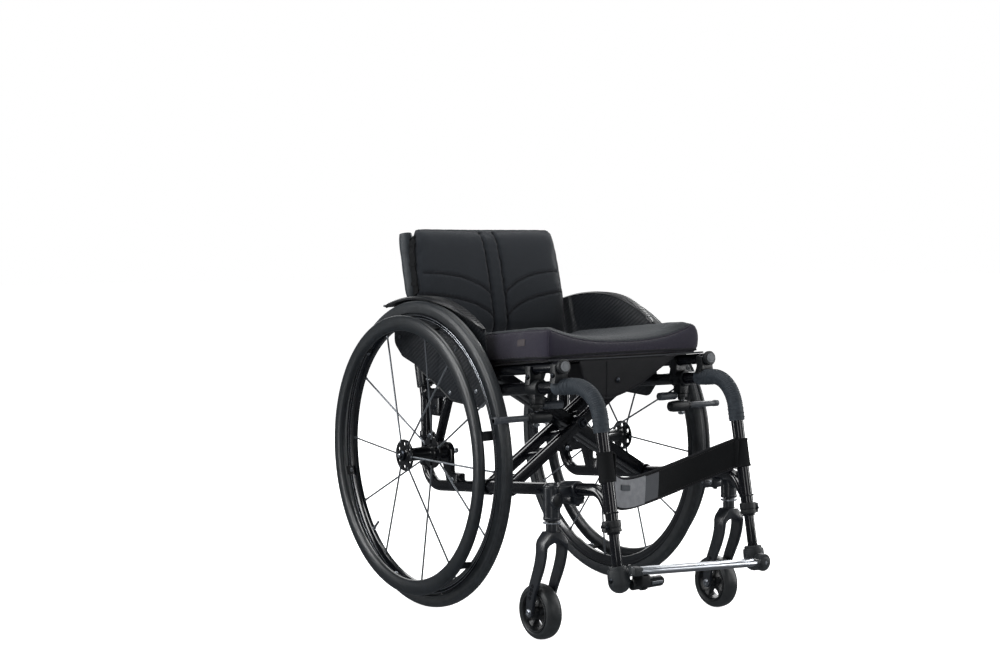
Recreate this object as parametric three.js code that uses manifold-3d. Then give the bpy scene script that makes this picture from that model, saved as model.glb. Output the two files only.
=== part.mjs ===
import * as THREE from 'three';
import { mergeVertices } from 'three/addons/utils/BufferGeometryUtils.js';
import Module from 'manifold-3d';

const wasm = await Module();
wasm.setup();

// Driving dimensions, in millimetres and degrees. X points to the rider's left, Y to the rear and Z up.
// Y is measured from the rear axle. The left half is built outward along +X and mirrored to the right.
const gap = 0.3; // clearance between pieces that rest on each other
const runGap = 0.8; // clearance where a piece turns inside another
const overrun = 3; // how far a cutter passes the face that it cuts
const roundSides = 10;
const fineSides = 16;

const frame = {
  halfWidth: 175, tubeRadius: 11.5, slope: 5.5, upperHeight: 415.8, lowerHeight: 231.7,
  rearTubeY: 75.5, rearBend: 47, leanFall: 44, rearTopHeight: 444, backLean: 12.5, leanBend: 40,
  taperY: -330, taperBend: 150, frontY: -456.5, frontBend: 62, lowerFrontBend: 36, lowerFrontY: -468,
  lowerFrontEndHeight: 238,
  strutTopY: -12, strutFootY: 41, strutFootHeight: 290, strutRadius: 9.5,
  footPlateY: -14, footPlateRadius: 8, lugFrontY: -50, lugRearY: -12, lugHeight: 261, lugWidth: 20,
  gussetFrontY: 20, gussetRearY: 50, gussetLow: 368, gussetWidth: 12,
};
const leg = {
  inset: 14, lean: 10.2, tubeEndHeight: 203, boreDepth: 55, extensionRadius: 9, extensionRise: 45,
  bracketTopHeight: 149, bracketRadius: 19.5, bracketFootHeight: 103, socketDepth: 15, bracketSides: 12,
};
const collar = { lowHeight: 207, highHeight: 227, radius: 15, earLength: 6, earWidth: 12 };
const sleeve = { startY: -355, endHeight: 377, radius: 14.6 };
const axle = {
  radius: 6, bossRadius: 14, bossInnerX: 168, plateThickness: 12, plateRadius: 19, plateTubeRadius: 14,
  nutRadius: 9.5, nutLength: 6, tipLength: 11, headRadius: 11, headLength: 5, tipRadius: 5.5,
  buttonRadius: 5, buttonProud: 5, buttonDepth: 4, buttonTravel: 4,
};
const wheel = {
  radius: 300, tyreWidth: 24, planeX: 235.6, tyreDepth: 24, tyreCrown: 12, rimDepth: 20, rimWidth: 19,
  segments: 36, valveLength: 26, valveRadius: 3, valveAngle: -43,
};
const hub = {
  innerReach: 28.6, outerReach: 43, innerFlange: 24.6, outerFlange: 38.5, flangeRadius: 31, bodyRadius: 15,
  flangeThickness: 4, noseRadius: 15, holeRadius: 5.5, holeCircle: 22, holes: 6,
  spokes: 12, spokeRadius: 1.5, spokeAngle: 2, spokeCircle: 28, spokeSpread: 3, spokeGap: 0.6, spokeSides: 5,
};
const pushrim = {
  offset: 39, inset: 42.6, halfDepth: 15.4, halfWidth: 9.5, tabs: 6, tabAngle: 47,
  tabWidth: 18, tabThickness: 5, tabInset: 38, sides: 8,
};
const castor = {
  swivelX: 213, swivelY: -394, housingRadius: 15.5, housingLow: 219, housingHigh: 285, stemRadius: 6,
  stemTop: 268, boreTop: 274, neckRadius: 11, neckLow: 199, trail: 36, radius: 50, width: 32, crown: 11,
  rimRadius: 37, rimThickness: 5, hubRadius: 10, hubHalfWidth: 18, spokes: 5, spokeWidth: 7,
  spokeThickness: 10, segments: 24, axleRadius: 4, axleHeadRadius: 6, axleHeadLength: 3, axleHeadSeat: 0.4,
  capHeight: 5,
};
const fork = {
  bladeX: 22.5, bladeThickness: 7, topWidth: 25, footWidth: 17, crownHeight: 27, crownDepth: 25,
  crownTopWidth: 25, slotTop: 177, curveShare: 0.4, steps: 6,
};
const castorClamp = {
  ringRadius: 16, length: 40, armHeight: 24, lugWidth: 26, lugLength: 36, lugHeight: 20, lugInset: 6,
};
const rail = {
  rise: 219, radius: 10, frontY: -384, rearY: 24, capRadius: 9, capLength: 4,
};
const saddle = { frontY: -368, rearY: -292, length: 16, cheek: 5, cheekRise: 5, baseRise: 7.5 };
const brace = {
  centreY: -176, ringRadius: 16, boltRadius: 6, boltHeadRadius: 10, boltHead: 5,
  ladderHalf: 46, ladderRail: 20, ladderHeight: 18, rungs: 3, rungWidth: 7, rungThickness: 9,
  beamHalf: 21, beamHeight: 24, bossRadius: 14, endInset: 34,
};
const back = {
  tubeRadius: 11, topHeight: 722, capHeight: 6, clampFall: 21, clampRise: 26, clampRadius: 16,
  boltRadius: 4, boltLength: 26, boltShares: [0.25, 0.75],
};
const guard = {
  planeX: 203, thickness: 3.5, arcRise: 6, flangeWidth: 32, flangeThickness: 3.5, rearAngle: 63,
  frontAngle: 126, tipRise: 20, frontLowY: -196, frontLowHeight: 430, lowFrontY: -170, lowFrontHeight: 399,
  lowRearY: -65, lowRearHeight: 405, riseInset: 80, riseFall: 116, rearLowInset: 29, rearLowFall: 101,
  rearTipReach: 1, rearTipFall: 75, bossRadius: 7, bossFrontY: -150, bossRearY: -60, swellShare: 0.5,
  steps: 10,
};
const brake = {
  y: -300, mountLength: 34, mountRadius: 16,
  pivotX: 176, leverHeight: 412, leverTipX: 116, leverDiscRadius: 12, leverThickness: 7, gripRadius: 8,
  shoeHeight: 391, shoeRodRadius: 6, shoeTipX: 272, shoeBodyRadius: 11.5, shoeBodyInnerX: 143,
  shoeBodyOuterX: 192, pivotRadius: 4, spacerRadius: 7, nutLength: 4,
};
const footrest = {
  y: -546.5, pivotX: 150, pivotHeight: 124.8, tilt: 3.8, tipX: 158, width: 30, thickness: 15, eyeRadius: 12,
  eyeWidth: 17, pinRadius: 4, pinHeadRadius: 7, pinHead: 3, wideInset: 31, latchY: -528, latchHeight: 117,
  latchRadius: 9.5, latchTipX: 76, latchCollarX: 112, latchCollarRadius: 12, latchCollarLength: 12,
  noseX: 120, noseWidth: 18, noseDepth: 24, latchRoom: 0.6,
};
const sling = {
  halfWidth: 187, thickness: 3, frontY: -352, rearY: 22, pouchDepth: 72, pouchHalfWidth: 116,
  pouchLength: 98, pouchRearShare: 0.75, sidePower: 0.6, rearPower: 1.5, pouchSteps: [10, 6, 3],
};
const cushion = {
  halfWidth: 190, frontY: -356, rearY: 26, thickness: 68, dip: 34, sideInset: 9, edgeRadius: 11,
  rearDipShare: 0.35, lowEdgeShare: 0.4, cornerShare: 0.03, edgePower: 12,
  scoopPower: 2.6, steps: [14, 12, 4],
};
const backrest = {
  halfWidth: 183, frontReach: 47, rearReach: 12, lowRise: 50, topHeight: 743, edgeRadius: 15, crown: 6,
  seamOffset: 17, seamDepth: 3, seamWidth: 6, rollRadius: 15.5, swellShare: 0.05, cornerShare: 0.03,
  sidePower: 10, endPower: 8, steps: [16, 8, 2],
};
const strap = {
  cuffHigh: 344, cuffLow: 292, cuffRadius: 16, sag: 40, drop: 56, thickness: 4, height: 56,
  riseShare: 0.35, fallShare: 1, steps: [12, 1, 3],
};

const radians = THREE.MathUtils.degToRad;
const tanSlope = Math.tan(radians(frame.slope));
const cosSlope = Math.cos(radians(frame.slope));
const tanLean = Math.tan(radians(leg.lean));
const tanBack = Math.tan(radians(frame.backLean));
const point = (x, y, z) => new THREE.Vector3(x, y, z);

// Lines that the side tubes, the legs and the back follow.
const upperZ = (y) => frame.upperHeight - y * tanSlope;
const lowerZ = (y) => frame.lowerHeight - y * tanSlope;
const railZ = (y) => lowerZ(y) + rail.rise / cosSlope;
const frontCornerZ = upperZ(frame.frontY);
const legX = frame.halfWidth - leg.inset;
const legY = (z) => frame.frontY - (frontCornerZ - z) * tanLean;
const legPoint = (z) => point(legX, legY(z), z);
const backrestLow = frame.rearTopHeight + back.clampRise + backrest.lowRise;
const leanHeight = frame.rearTopHeight - frame.leanFall;
const backY = (z) => frame.rearTubeY + (z - leanHeight) * tanBack;
const backPoint = (z) => point(frame.halfWidth, backY(z), z);
const tubeX = (y, cornerY) => frame.halfWidth
  - leg.inset * Math.max(0, (frame.taperY - y) / (frame.taperY - cornerY));

// A bent line: straight stretches between its corners, with a round bend at each inner corner.
class BentLine extends THREE.Curve {
  constructor(corners, bends, bendSteps = 5) {
    super();
    this.places = [corners[0]];
    this.headings = [corners[1].clone().sub(corners[0]).normalize()];
    for (let i = 1; i < corners.length - 1; i++) {
      const into = corners[i].clone().sub(corners[i - 1]).normalize();
      const out = corners[i + 1].clone().sub(corners[i]).normalize();
      const turn = into.angleTo(out);
      const start = corners[i].clone().addScaledVector(into, -bends[i - 1] * Math.tan(turn / 2));
      const side = out.clone().addScaledVector(into, -Math.cos(turn)).normalize();
      const steps = Math.max(1, Math.round(bendSteps * turn / (Math.PI / 2)));
      for (let k = 0; k <= steps; k++) {
        const angle = turn * k / steps;
        const along = bends[i - 1] * Math.sin(angle);
        const across = bends[i - 1] * (1 - Math.cos(angle));
        this.places.push(start.clone().addScaledVector(into, along).addScaledVector(side, across));
        this.headings.push(into.clone().multiplyScalar(Math.cos(angle))
          .addScaledVector(side, Math.sin(angle)).normalize());
      }
    }
    const last = corners.length - 1;
    this.places.push(corners[last]);
    this.headings.push(corners[last].clone().sub(corners[last - 1]).normalize());
    this.steps = this.places.length - 1;
  }

  getPoint(t, target = new THREE.Vector3()) {
    return target.copy(this.places[Math.round(t * this.steps)]);
  }

  getPointAt(u, target) {
    return this.getPoint(u, target);
  }

  getSpacedPoints() {
    return this.places.map((place) => place.clone());
  }

  getTangentAt(u, target = new THREE.Vector3()) {
    return target.copy(this.headings[Math.round(u * this.steps)]);
  }
}

// A closed three.js geometry as a solid that can be joined and cut, turned right side out if need be.
function solid(geometry) {
  const bare = geometry.clone();
  bare.deleteAttribute('normal');
  bare.deleteAttribute('uv');
  const merged = mergeVertices(bare, 1e-4);
  const places = merged.attributes.position;
  const faces = merged.index.array;
  const kept = [];
  let volume = 0;
  for (let i = 0; i < faces.length; i += 3) {
    const [a, b, c] = [faces[i], faces[i + 1], faces[i + 2]];
    if (a !== b && b !== c && c !== a) {
      kept.push(a, b, c);
      const corner = [a, b, c].map((n) => point(places.getX(n), places.getY(n), places.getZ(n)));
      volume += corner[0].dot(corner[1].cross(corner[2]));
    }
  }
  if (volume < 0) kept.reverse();
  return new wasm.Manifold(new wasm.Mesh({
    numProp: 3, vertProperties: new Float32Array(places.array), triVerts: new Uint32Array(kept),
  }));
}

function joined(...solids) {
  return solids.reduce((whole, next) => whole.add(next));
}

function cut(whole, ...cutters) {
  return cutters.reduce((rest, cutter) => rest.subtract(cutter), whole);
}

function ringPoints(radius, sides, squash = 1) {
  return Array.from({ length: sides }, (_, i) => {
    const angle = 2 * Math.PI * (i + 0.5) / sides;
    return new THREE.Vector2(radius * Math.cos(angle), radius * squash * Math.sin(angle));
  });
}

// A round bar or cutter that follows a bent line.
function bar(line, radius, sides = roundSides) {
  const section = new THREE.Shape(ringPoints(radius, sides));
  return solid(new THREE.ExtrudeGeometry(section, {
    steps: line.steps, extrudePath: line, bevelEnabled: false,
  }));
}

// A straight round bar between two places, and the radius of a bore whose flats clear a round bar.
function rod(from, to, radius, sides = roundSides, farRadius = radius) {
  const along = to.clone().sub(from);
  const geometry = new THREE.CylinderGeometry(farRadius, radius, along.length(), sides);
  geometry.applyQuaternion(new THREE.Quaternion().setFromUnitVectors(
    new THREE.Vector3(0, 1, 0), along.clone().normalize()));
  const middle = from.clone().add(to).multiplyScalar(0.5);
  geometry.translate(middle.x, middle.y, middle.z);
  return solid(geometry);
}

function boreRadius(radius, clearance = gap, sides = roundSides) {
  return (radius + clearance) / Math.cos(Math.PI / sides);
}

function stretched(from, to, extra) {
  const step = to.clone().sub(from).normalize().multiplyScalar(extra);
  return [from.clone().sub(step), to.clone().add(step)];
}

// A block between two corners.
function block(low, high) {
  const geometry = new THREE.BoxGeometry(high.x - low.x, high.y - low.y, high.z - low.z);
  geometry.translate((low.x + high.x) / 2, (low.y + high.y) / 2, (low.z + high.z) / 2);
  return solid(geometry);
}

// A flat outline in Y and Z, given as [y, z] pairs, thickened along X.
function plateX(outline, lowX, highX) {
  const shape = new THREE.Shape(outline.map(([y, z]) => new THREE.Vector2(y, z)));
  const geometry = new THREE.ExtrudeGeometry(shape, { depth: highX - lowX, bevelEnabled: false });
  geometry.applyMatrix4(new THREE.Matrix4().makeBasis(point(0, 1, 0), point(0, 0, 1), point(1, 0, 0)));
  geometry.translate(lowX, 0, 0);
  return solid(geometry);
}

// A flat outline in X and Z, given as [x, z] pairs, thickened along Y.
function plateY(outline, lowY, highY) {
  const shape = new THREE.Shape(outline.map(([x, z]) => new THREE.Vector2(x, z)));
  const geometry = new THREE.ExtrudeGeometry(shape, { depth: highY - lowY, bevelEnabled: false });
  geometry.applyMatrix4(new THREE.Matrix4().makeBasis(point(1, 0, 0), point(0, 0, 1), point(0, -1, 0)));
  geometry.translate(0, highY, 0);
  return solid(geometry);
}

// The outline of a link with two round ends.
function linkOutline(a, b, aRadius, bRadius, steps = 6) {
  const heading = Math.atan2(b[1] - a[1], b[0] - a[0]);
  const span = Math.hypot(b[0] - a[0], b[1] - a[1]);
  const lean = Math.acos((aRadius - bRadius) / span);
  const outline = [];
  for (let k = 0; k <= steps; k++) {
    const angle = heading + lean + (2 * Math.PI - 2 * lean) * k / steps;
    outline.push([a[0] + aRadius * Math.cos(angle), a[1] + aRadius * Math.sin(angle)]);
  }
  for (let k = 0; k <= steps; k++) {
    const angle = heading - lean + 2 * lean * k / steps;
    outline.push([b[0] + bRadius * Math.cos(angle), b[1] + bRadius * Math.sin(angle)]);
  }
  return outline;
}

// A turned shape round the X axis from [along, radius] pairs, with its open ends closed on themselves.
function turned(profile, segments) {
  const points = profile.map(([along, radius]) => new THREE.Vector2(radius, along));
  const geometry = new THREE.LatheGeometry([...points, points[0].clone()], segments);
  geometry.rotateZ(-Math.PI / 2);
  return solid(geometry);
}

const black = { color: 0x0c0d0f, roughness: 0.28, metalness: 0.3 };
const darkPlastic = { color: 0x1b1d20, roughness: 0.6, metalness: 0 };
const rubber = { color: 0x24282c, roughness: 0.75, metalness: 0 };
const steel = { color: 0xb4b8bc, roughness: 0.3, metalness: 0.9 };
const polished = { color: 0xc9cdd2, roughness: 0.2, metalness: 0.95 };
const cloth = { color: 0x1d1e21, roughness: 0.95, metalness: 0 };
const cushionCloth = { color: 0x262430, roughness: 0.9, metalness: 0 };

// A finished piece: a named mesh with its own material, mirrored to the right where asked.
function piece(name, shape, look, mirrored = false) {
  const mesh = shape.getMesh();
  const places = new Float32Array(mesh.vertProperties);
  const faces = new Uint32Array(mesh.triVerts);
  if (mirrored) {
    for (let i = 0; i < places.length; i += 3) places[i] = -places[i];
    faces.reverse();
  }
  const geometry = new THREE.BufferGeometry();
  geometry.setAttribute('position', new THREE.BufferAttribute(places, 3));
  geometry.setIndex(new THREE.BufferAttribute(faces, 1));
  geometry.computeVertexNormals();
  const made = new THREE.Mesh(geometry, new THREE.MeshStandardMaterial(look));
  made.name = name;
  return made;
}

// The welded side frame: two long tubes that meet in the front leg, the J bend up the back,
// the slanted tube, and the plate and boss that hold the rear axle.
const upperLine = new BentLine([
  point(frame.halfWidth, frame.rearTubeY, upperZ(frame.rearTubeY)),
  point(frame.halfWidth, frame.taperY, upperZ(frame.taperY)),
  legPoint(frontCornerZ),
  legPoint(leg.tubeEndHeight),
], [frame.taperBend, frame.frontBend]);
const lowerLine = new BentLine([
  legPoint(frame.lowerFrontEndHeight),
  point(legX, frame.lowerFrontY, lowerZ(frame.lowerFrontY)),
  point(frame.halfWidth, frame.taperY, lowerZ(frame.taperY)),
  point(frame.halfWidth, frame.rearTubeY, lowerZ(frame.rearTubeY)),
  backPoint(leanHeight),
  backPoint(frame.rearTopHeight),
], [frame.lowerFrontBend, frame.taperBend, frame.rearBend, frame.leanBend]);
const rimInner = wheel.radius - wheel.tyreDepth - wheel.rimDepth;
const bossOuterX = wheel.planeX - hub.innerReach - gap;

function sideFrame() {
  const axlePoint = [0, wheel.radius];
  const plateLowX = frame.halfWidth - axle.plateThickness / 2;
  const plateHighX = frame.halfWidth + axle.plateThickness / 2;
  const toTube = linkOutline(
    axlePoint, [frame.rearTubeY, wheel.radius], axle.plateRadius, axle.plateTubeRadius);
  const toStrut = linkOutline(
    axlePoint, [frame.strutFootY, frame.strutFootHeight], axle.plateRadius, axle.plateRadius);
  const strut = rod(
    point(frame.halfWidth, frame.strutTopY, upperZ(frame.strutTopY)),
    point(frame.halfWidth, frame.strutFootY, frame.strutFootHeight), frame.strutRadius);
  const boss = rod(
    point(axle.bossInnerX, 0, wheel.radius), point(bossOuterX, 0, wheel.radius), axle.bossRadius);
  const bore = rod(
    point(axle.bossInnerX - overrun, 0, wheel.radius), point(bossOuterX + overrun, 0, wheel.radius),
    boreRadius(axle.radius));
  const legBore = rod(
    legPoint(leg.tubeEndHeight - overrun), legPoint(leg.tubeEndHeight + leg.boreDepth),
    boreRadius(leg.extensionRadius));
  const toLowerTube = linkOutline(
    axlePoint, [frame.footPlateY, lowerZ(frame.footPlateY)], axle.plateRadius, frame.footPlateRadius);
  const lug = block(
    point(frame.halfWidth - frame.lugWidth / 2, frame.lugFrontY, lowerZ(frame.lugRearY)),
    point(frame.halfWidth + frame.lugWidth / 2, frame.lugRearY, frame.lugHeight));
  const gusset = block(
    point(frame.halfWidth - frame.gussetWidth / 2, frame.gussetFrontY, frame.gussetLow),
    point(frame.halfWidth + frame.gussetWidth / 2, frame.gussetRearY, upperZ(frame.gussetRearY)));
  const whole = joined(
    bar(upperLine, frame.tubeRadius), bar(lowerLine, frame.tubeRadius), strut, boss, lug, gusset,
    plateX(toTube, plateLowX, plateHighX), plateX(toStrut, plateLowX, plateHighX),
    plateX(toLowerTube, plateLowX, plateHighX));
  return cut(whole, bore, legBore);
}

// The grip sleeve round the front bend.
function frontSleeve() {
  const start = point(tubeX(sleeve.startY, frame.frontY), sleeve.startY, upperZ(sleeve.startY));
  const line = new BentLine(
    [start, legPoint(frontCornerZ), legPoint(sleeve.endHeight)], [frame.frontBend], 6);
  return cut(bar(line, sleeve.radius), bar(upperLine, boreRadius(frame.tubeRadius)));
}

// The cradles that the seat rail drops into, standing on the upper tube.
function railSaddle(y, seatRadius) {
  const lowY = y - saddle.length / 2;
  const highY = y + saddle.length / 2;
  const half = rail.radius + gap + saddle.cheek;
  const base = block(
    point(frame.halfWidth - half, lowY, upperZ(y) + saddle.baseRise),
    point(frame.halfWidth + half, highY, railZ(y) + saddle.cheekRise));
  const [tubeFrom, tubeTo] = stretched(
    point(tubeX(lowY, frame.frontY), lowY, upperZ(lowY)),
    point(tubeX(highY, frame.frontY), highY, upperZ(highY)), overrun);
  const [railFrom, railTo] = stretched(
    point(frame.halfWidth, lowY, railZ(lowY)), point(frame.halfWidth, highY, railZ(highY)), overrun);
  const railBore = boreRadius(rail.radius);
  const mouth = block(
    point(frame.halfWidth - railBore, lowY - overrun, railZ(y)),
    point(frame.halfWidth + railBore, highY + overrun, railZ(y) + saddle.cheekRise + overrun));
  return cut(base, rod(tubeFrom, tubeTo, boreRadius(seatRadius)), rod(railFrom, railTo, railBore), mouth);
}

// The clamp that carries the castor housing on the lower tube, with its lug underneath.
function castorClampPiece() {
  const lowY = castor.swivelY - castorClamp.length / 2;
  const highY = castor.swivelY + castorClamp.length / 2;
  const tubeAt = (y) => point(tubeX(y, frame.lowerFrontY), y, lowerZ(y));
  const middle = tubeAt(castor.swivelY);
  const ring = rod(tubeAt(lowY), tubeAt(highY), castorClamp.ringRadius);
  const arm = block(
    point(middle.x, lowY + castorClamp.lugInset, middle.z - castorClamp.armHeight / 2),
    point(castor.swivelX, highY - castorClamp.lugInset, middle.z + castorClamp.armHeight / 2));
  const lugX = middle.x - castorClamp.ringRadius;
  const lugLow = middle.z - castorClamp.ringRadius - castorClamp.lugHeight / 2;
  const lug = block(
    point(lugX, lowY, lugLow),
    point(lugX + castorClamp.lugWidth, lowY + castorClamp.lugLength, middle.z - castorClamp.lugInset));
  const [from, to] = stretched(tubeAt(lowY), tubeAt(highY), overrun);
  const housingRoom = rod(
    point(castor.swivelX, castor.swivelY, castor.housingLow - overrun),
    point(castor.swivelX, castor.swivelY, castor.housingHigh + overrun),
    boreRadius(castor.housingRadius, gap, fineSides), fineSides);
  return cut(joined(ring, arm, lug), rod(from, to, boreRadius(frame.tubeRadius)), housingRoom);
}

function castorHousing() {
  const at = (z) => point(castor.swivelX, castor.swivelY, z);
  const cap = castor.capHeight;
  const barrel = rod(at(castor.housingLow), at(castor.housingHigh - cap), castor.housingRadius, fineSides);
  const top = rod(
    at(castor.housingHigh - cap), at(castor.housingHigh), castor.housingRadius, fineSides,
    castor.housingRadius - cap);
  const bore = rod(at(castor.housingLow - overrun), at(castor.boreTop), boreRadius(castor.stemRadius));
  return cut(joined(barrel, top), bore);
}

// Castor pieces, about the swivel axis.
const castorAxle = point(0, castor.trail, castor.radius);

function castorFork() {
  const at = (z) => point(0, 0, z);
  const crownLow = castor.neckLow - fork.crownHeight;
  const neck = rod(at(castor.neckLow), at(castor.housingLow - runGap), castor.neckRadius);
  const stem = rod(at(castor.neckLow), at(castor.stemTop), castor.stemRadius);
  const outer = fork.bladeX + fork.bladeThickness / 2;
  const inner = fork.bladeX - fork.bladeThickness / 2;
  const topHalf = fork.crownTopWidth / 2;
  const crown = plateY([
    [-topHalf, castor.neckLow], [-outer, fork.slotTop], [-outer, crownLow], [-inner, crownLow],
    [-inner, fork.slotTop - fork.bladeThickness], [-inner + fork.bladeThickness, fork.slotTop],
    [inner - fork.bladeThickness, fork.slotTop], [inner, fork.slotTop - fork.bladeThickness],
    [inner, crownLow], [outer, crownLow], [outer, fork.slotTop], [topHalf, castor.neckLow],
  ], -fork.crownDepth / 2, fork.crownDepth / 2);
  const centre = new THREE.CubicBezierCurve(
    new THREE.Vector2(0, fork.slotTop),
    new THREE.Vector2(0, fork.slotTop - (fork.slotTop - castorAxle.z) * fork.curveShare),
    new THREE.Vector2(castor.trail, castorAxle.z + (fork.slotTop - castorAxle.z) * fork.curveShare),
    new THREE.Vector2(castor.trail, castorAxle.z));
  const sidePoints = (sign) => Array.from({ length: fork.steps + 1 }, (_, i) => {
    const t = i / fork.steps;
    const place = centre.getPoint(t);
    const heading = centre.getTangent(t);
    const half = THREE.MathUtils.lerp(fork.topWidth, fork.footWidth, t) / 2;
    return [place.x - sign * heading.y * half, place.y + sign * heading.x * half];
  });
  const foot = Array.from({ length: 5 }, (_, k) => {
    const angle = -Math.PI * (k + 1) / 6;
    const half = fork.footWidth / 2;
    return [castorAxle.y + Math.cos(angle) * half, castorAxle.z + Math.sin(angle) * half];
  });
  const outline = [...sidePoints(1), ...foot, ...sidePoints(-1).reverse()];
  const blades = joined(plateX(outline, -outer, -inner), plateX(outline, inner, outer));
  const bolt = rod(
    point(-outer - castor.axleHeadLength, castorAxle.y, castorAxle.z),
    point(outer + castor.axleHeadLength, castorAxle.y, castorAxle.z), castor.axleRadius);
  const heads = [-1, 1].map((sign) => rod(
    point(sign * (outer - castor.axleHeadSeat), castorAxle.y, castorAxle.z),
    point(sign * (outer + castor.axleHeadLength), castorAxle.y, castorAxle.z), castor.axleHeadRadius));
  return joined(neck, stem, crown, blades, bolt, ...heads);
}

// A tyre's section as [along, radius] pairs: a crown over a flat inner face.
function roundedProfile(halfWidth, outer, crown, inner, steps) {
  const profile = [[-halfWidth, inner]];
  for (let k = 0; k <= steps; k++) {
    const angle = Math.PI * k / steps;
    profile.push([-halfWidth * Math.cos(angle), outer - crown + crown * Math.sin(angle)]);
  }
  profile.push([halfWidth, inner]);
  return profile;
}

function castorTyre() {
  return turned(
    roundedProfile(castor.width / 2, castor.radius, castor.crown, castor.rimRadius, 4), castor.segments);
}

function castorHub() {
  const half = castor.width / 2;
  const outer = castor.rimRadius - gap;
  const inner = outer - castor.rimThickness;
  const band = turned([[-half, inner], [-half, outer], [half, outer], [half, inner]], castor.segments);
  const middle = rod(
    point(-castor.hubHalfWidth, 0, 0), point(castor.hubHalfWidth, 0, 0), castor.hubRadius);
  const spokes = Array.from({ length: castor.spokes }, (_, i) => {
    const geometry = new THREE.BoxGeometry(castor.spokeThickness, castor.spokeWidth, inner + gap);
    geometry.translate(0, 0, (inner + gap) / 2);
    geometry.rotateX(2 * Math.PI * i / castor.spokes);
    return solid(geometry);
  });
  const bore = rod(
    point(-castor.hubHalfWidth - overrun, 0, 0), point(castor.hubHalfWidth + overrun, 0, 0),
    boreRadius(castor.axleRadius));
  return cut(joined(band, middle, ...spokes), bore);
}

// The telescoping lower leg, its clamp ring and its foot.
function legExtension() {
  return rod(
    legPoint(leg.bracketTopHeight - leg.socketDepth + gap), legPoint(leg.tubeEndHeight + leg.extensionRise),
    leg.extensionRadius);
}

function legCollar() {
  const from = legPoint(collar.lowHeight);
  const to = legPoint(collar.highHeight);
  const ring = rod(from, to, collar.radius);
  const ear = block(
    point(from.x + frame.tubeRadius, to.y - collar.earWidth / 2, collar.lowHeight + gap),
    point(from.x + collar.radius + collar.earLength, to.y + collar.earWidth / 2, collar.highHeight - gap));
  return cut(joined(ring, ear), rod(...stretched(from, to, overrun), boreRadius(frame.tubeRadius)));
}

function footBracket(pinned) {
  const shoulder = leg.bracketFootHeight + leg.bracketRadius;
  const ball = new THREE.SphereGeometry(leg.bracketRadius, leg.bracketSides, leg.bracketSides / 2);
  ball.rotateX(Math.PI / 2);
  const centre = legPoint(shoulder);
  ball.translate(centre.x, centre.y, centre.z);
  const barrel = rod(
    legPoint(shoulder), legPoint(leg.bracketTopHeight), leg.bracketRadius, leg.bracketSides);
  const socket = rod(
    legPoint(leg.bracketTopHeight - leg.socketDepth), legPoint(leg.bracketTopHeight + overrun),
    boreRadius(leg.extensionRadius));
  const whole = cut(joined(barrel, solid(ball)), socket);
  if (!pinned) return whole;
  const frontY = footrest.y - footrest.eyeWidth / 2 - gap;
  const at = (y) => point(footrest.pivotX, y, footrest.pivotHeight);
  return joined(
    whole, rod(at(frontY - footrest.pinHead), at(centre.y), footrest.pinRadius),
    rod(at(frontY - footrest.pinHead), at(frontY), footrest.pinHeadRadius));
}

// The back cane and the sleeve clamp that joins it to the side frame.
function backTube() {
  const capLow = back.topHeight;
  return joined(
    rod(backPoint(frame.rearTopHeight + gap), backPoint(capLow), back.tubeRadius),
    rod(backPoint(capLow), backPoint(capLow + back.capHeight), back.tubeRadius, roundSides,
      back.tubeRadius - back.capHeight / 2));
}

function backClamp() {
  const from = backPoint(frame.rearTopHeight - back.clampFall);
  const to = backPoint(frame.rearTopHeight + back.clampRise);
  const sleeveBody = rod(from, to, back.clampRadius);
  const bolts = back.boltShares.map((share) => {
    const place = from.clone().lerp(to, share);
    return rod(
      point(place.x, place.y - back.clampRadius, place.z),
      point(place.x, place.y - back.boltLength, place.z), back.boltRadius, 8);
  });
  return cut(
    joined(sleeveBody, ...bolts), rod(...stretched(from, to, overrun), boreRadius(frame.tubeRadius)));
}

// The clothing guard: a panel beside the tyre and a flange that follows the tyre's top.
function sideguard() {
  const arcPoint = (angle, radius) => [
    radius * Math.cos(radians(angle)), wheel.radius + radius * Math.sin(radians(angle)),
  ];
  const swellAt = (t) => wheel.radius + THREE.MathUtils.lerp(
    guard.tipRise, guard.arcRise, Math.min(1, t / guard.swellShare));
  const topArc = (extra) => Array.from({ length: guard.steps + 1 }, (_, k) => {
    const angle = THREE.MathUtils.lerp(guard.rearAngle, guard.frontAngle, k / guard.steps);
    return arcPoint(angle, swellAt(k / guard.steps) + extra);
  });
  const [tipY, tipZ] = arcPoint(guard.rearAngle, wheel.radius + guard.tipRise);
  const panel = [
    ...topArc(0), [guard.frontLowY, guard.frontLowHeight], [guard.lowFrontY, guard.lowFrontHeight],
    [guard.lowRearY, guard.lowRearHeight], [tipY - guard.riseInset, tipZ - guard.riseFall],
    [tipY - guard.rearLowInset, tipZ - guard.rearLowFall],
    [tipY + guard.rearTipReach, tipZ - guard.rearTipFall],
  ];
  const flange = [...topArc(guard.flangeThickness), ...topArc(0).reverse()];
  const bosses = [guard.bossFrontY, guard.bossRearY].map((y) => rod(
    point(frame.halfWidth + frame.tubeRadius + gap, y, upperZ(y)),
    point(guard.planeX + guard.thickness, y, upperZ(y)), guard.bossRadius));
  return joined(
    plateX(panel, guard.planeX, guard.planeX + guard.thickness),
    plateX(flange, guard.planeX, guard.planeX + guard.flangeWidth), ...bosses);
}

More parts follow.
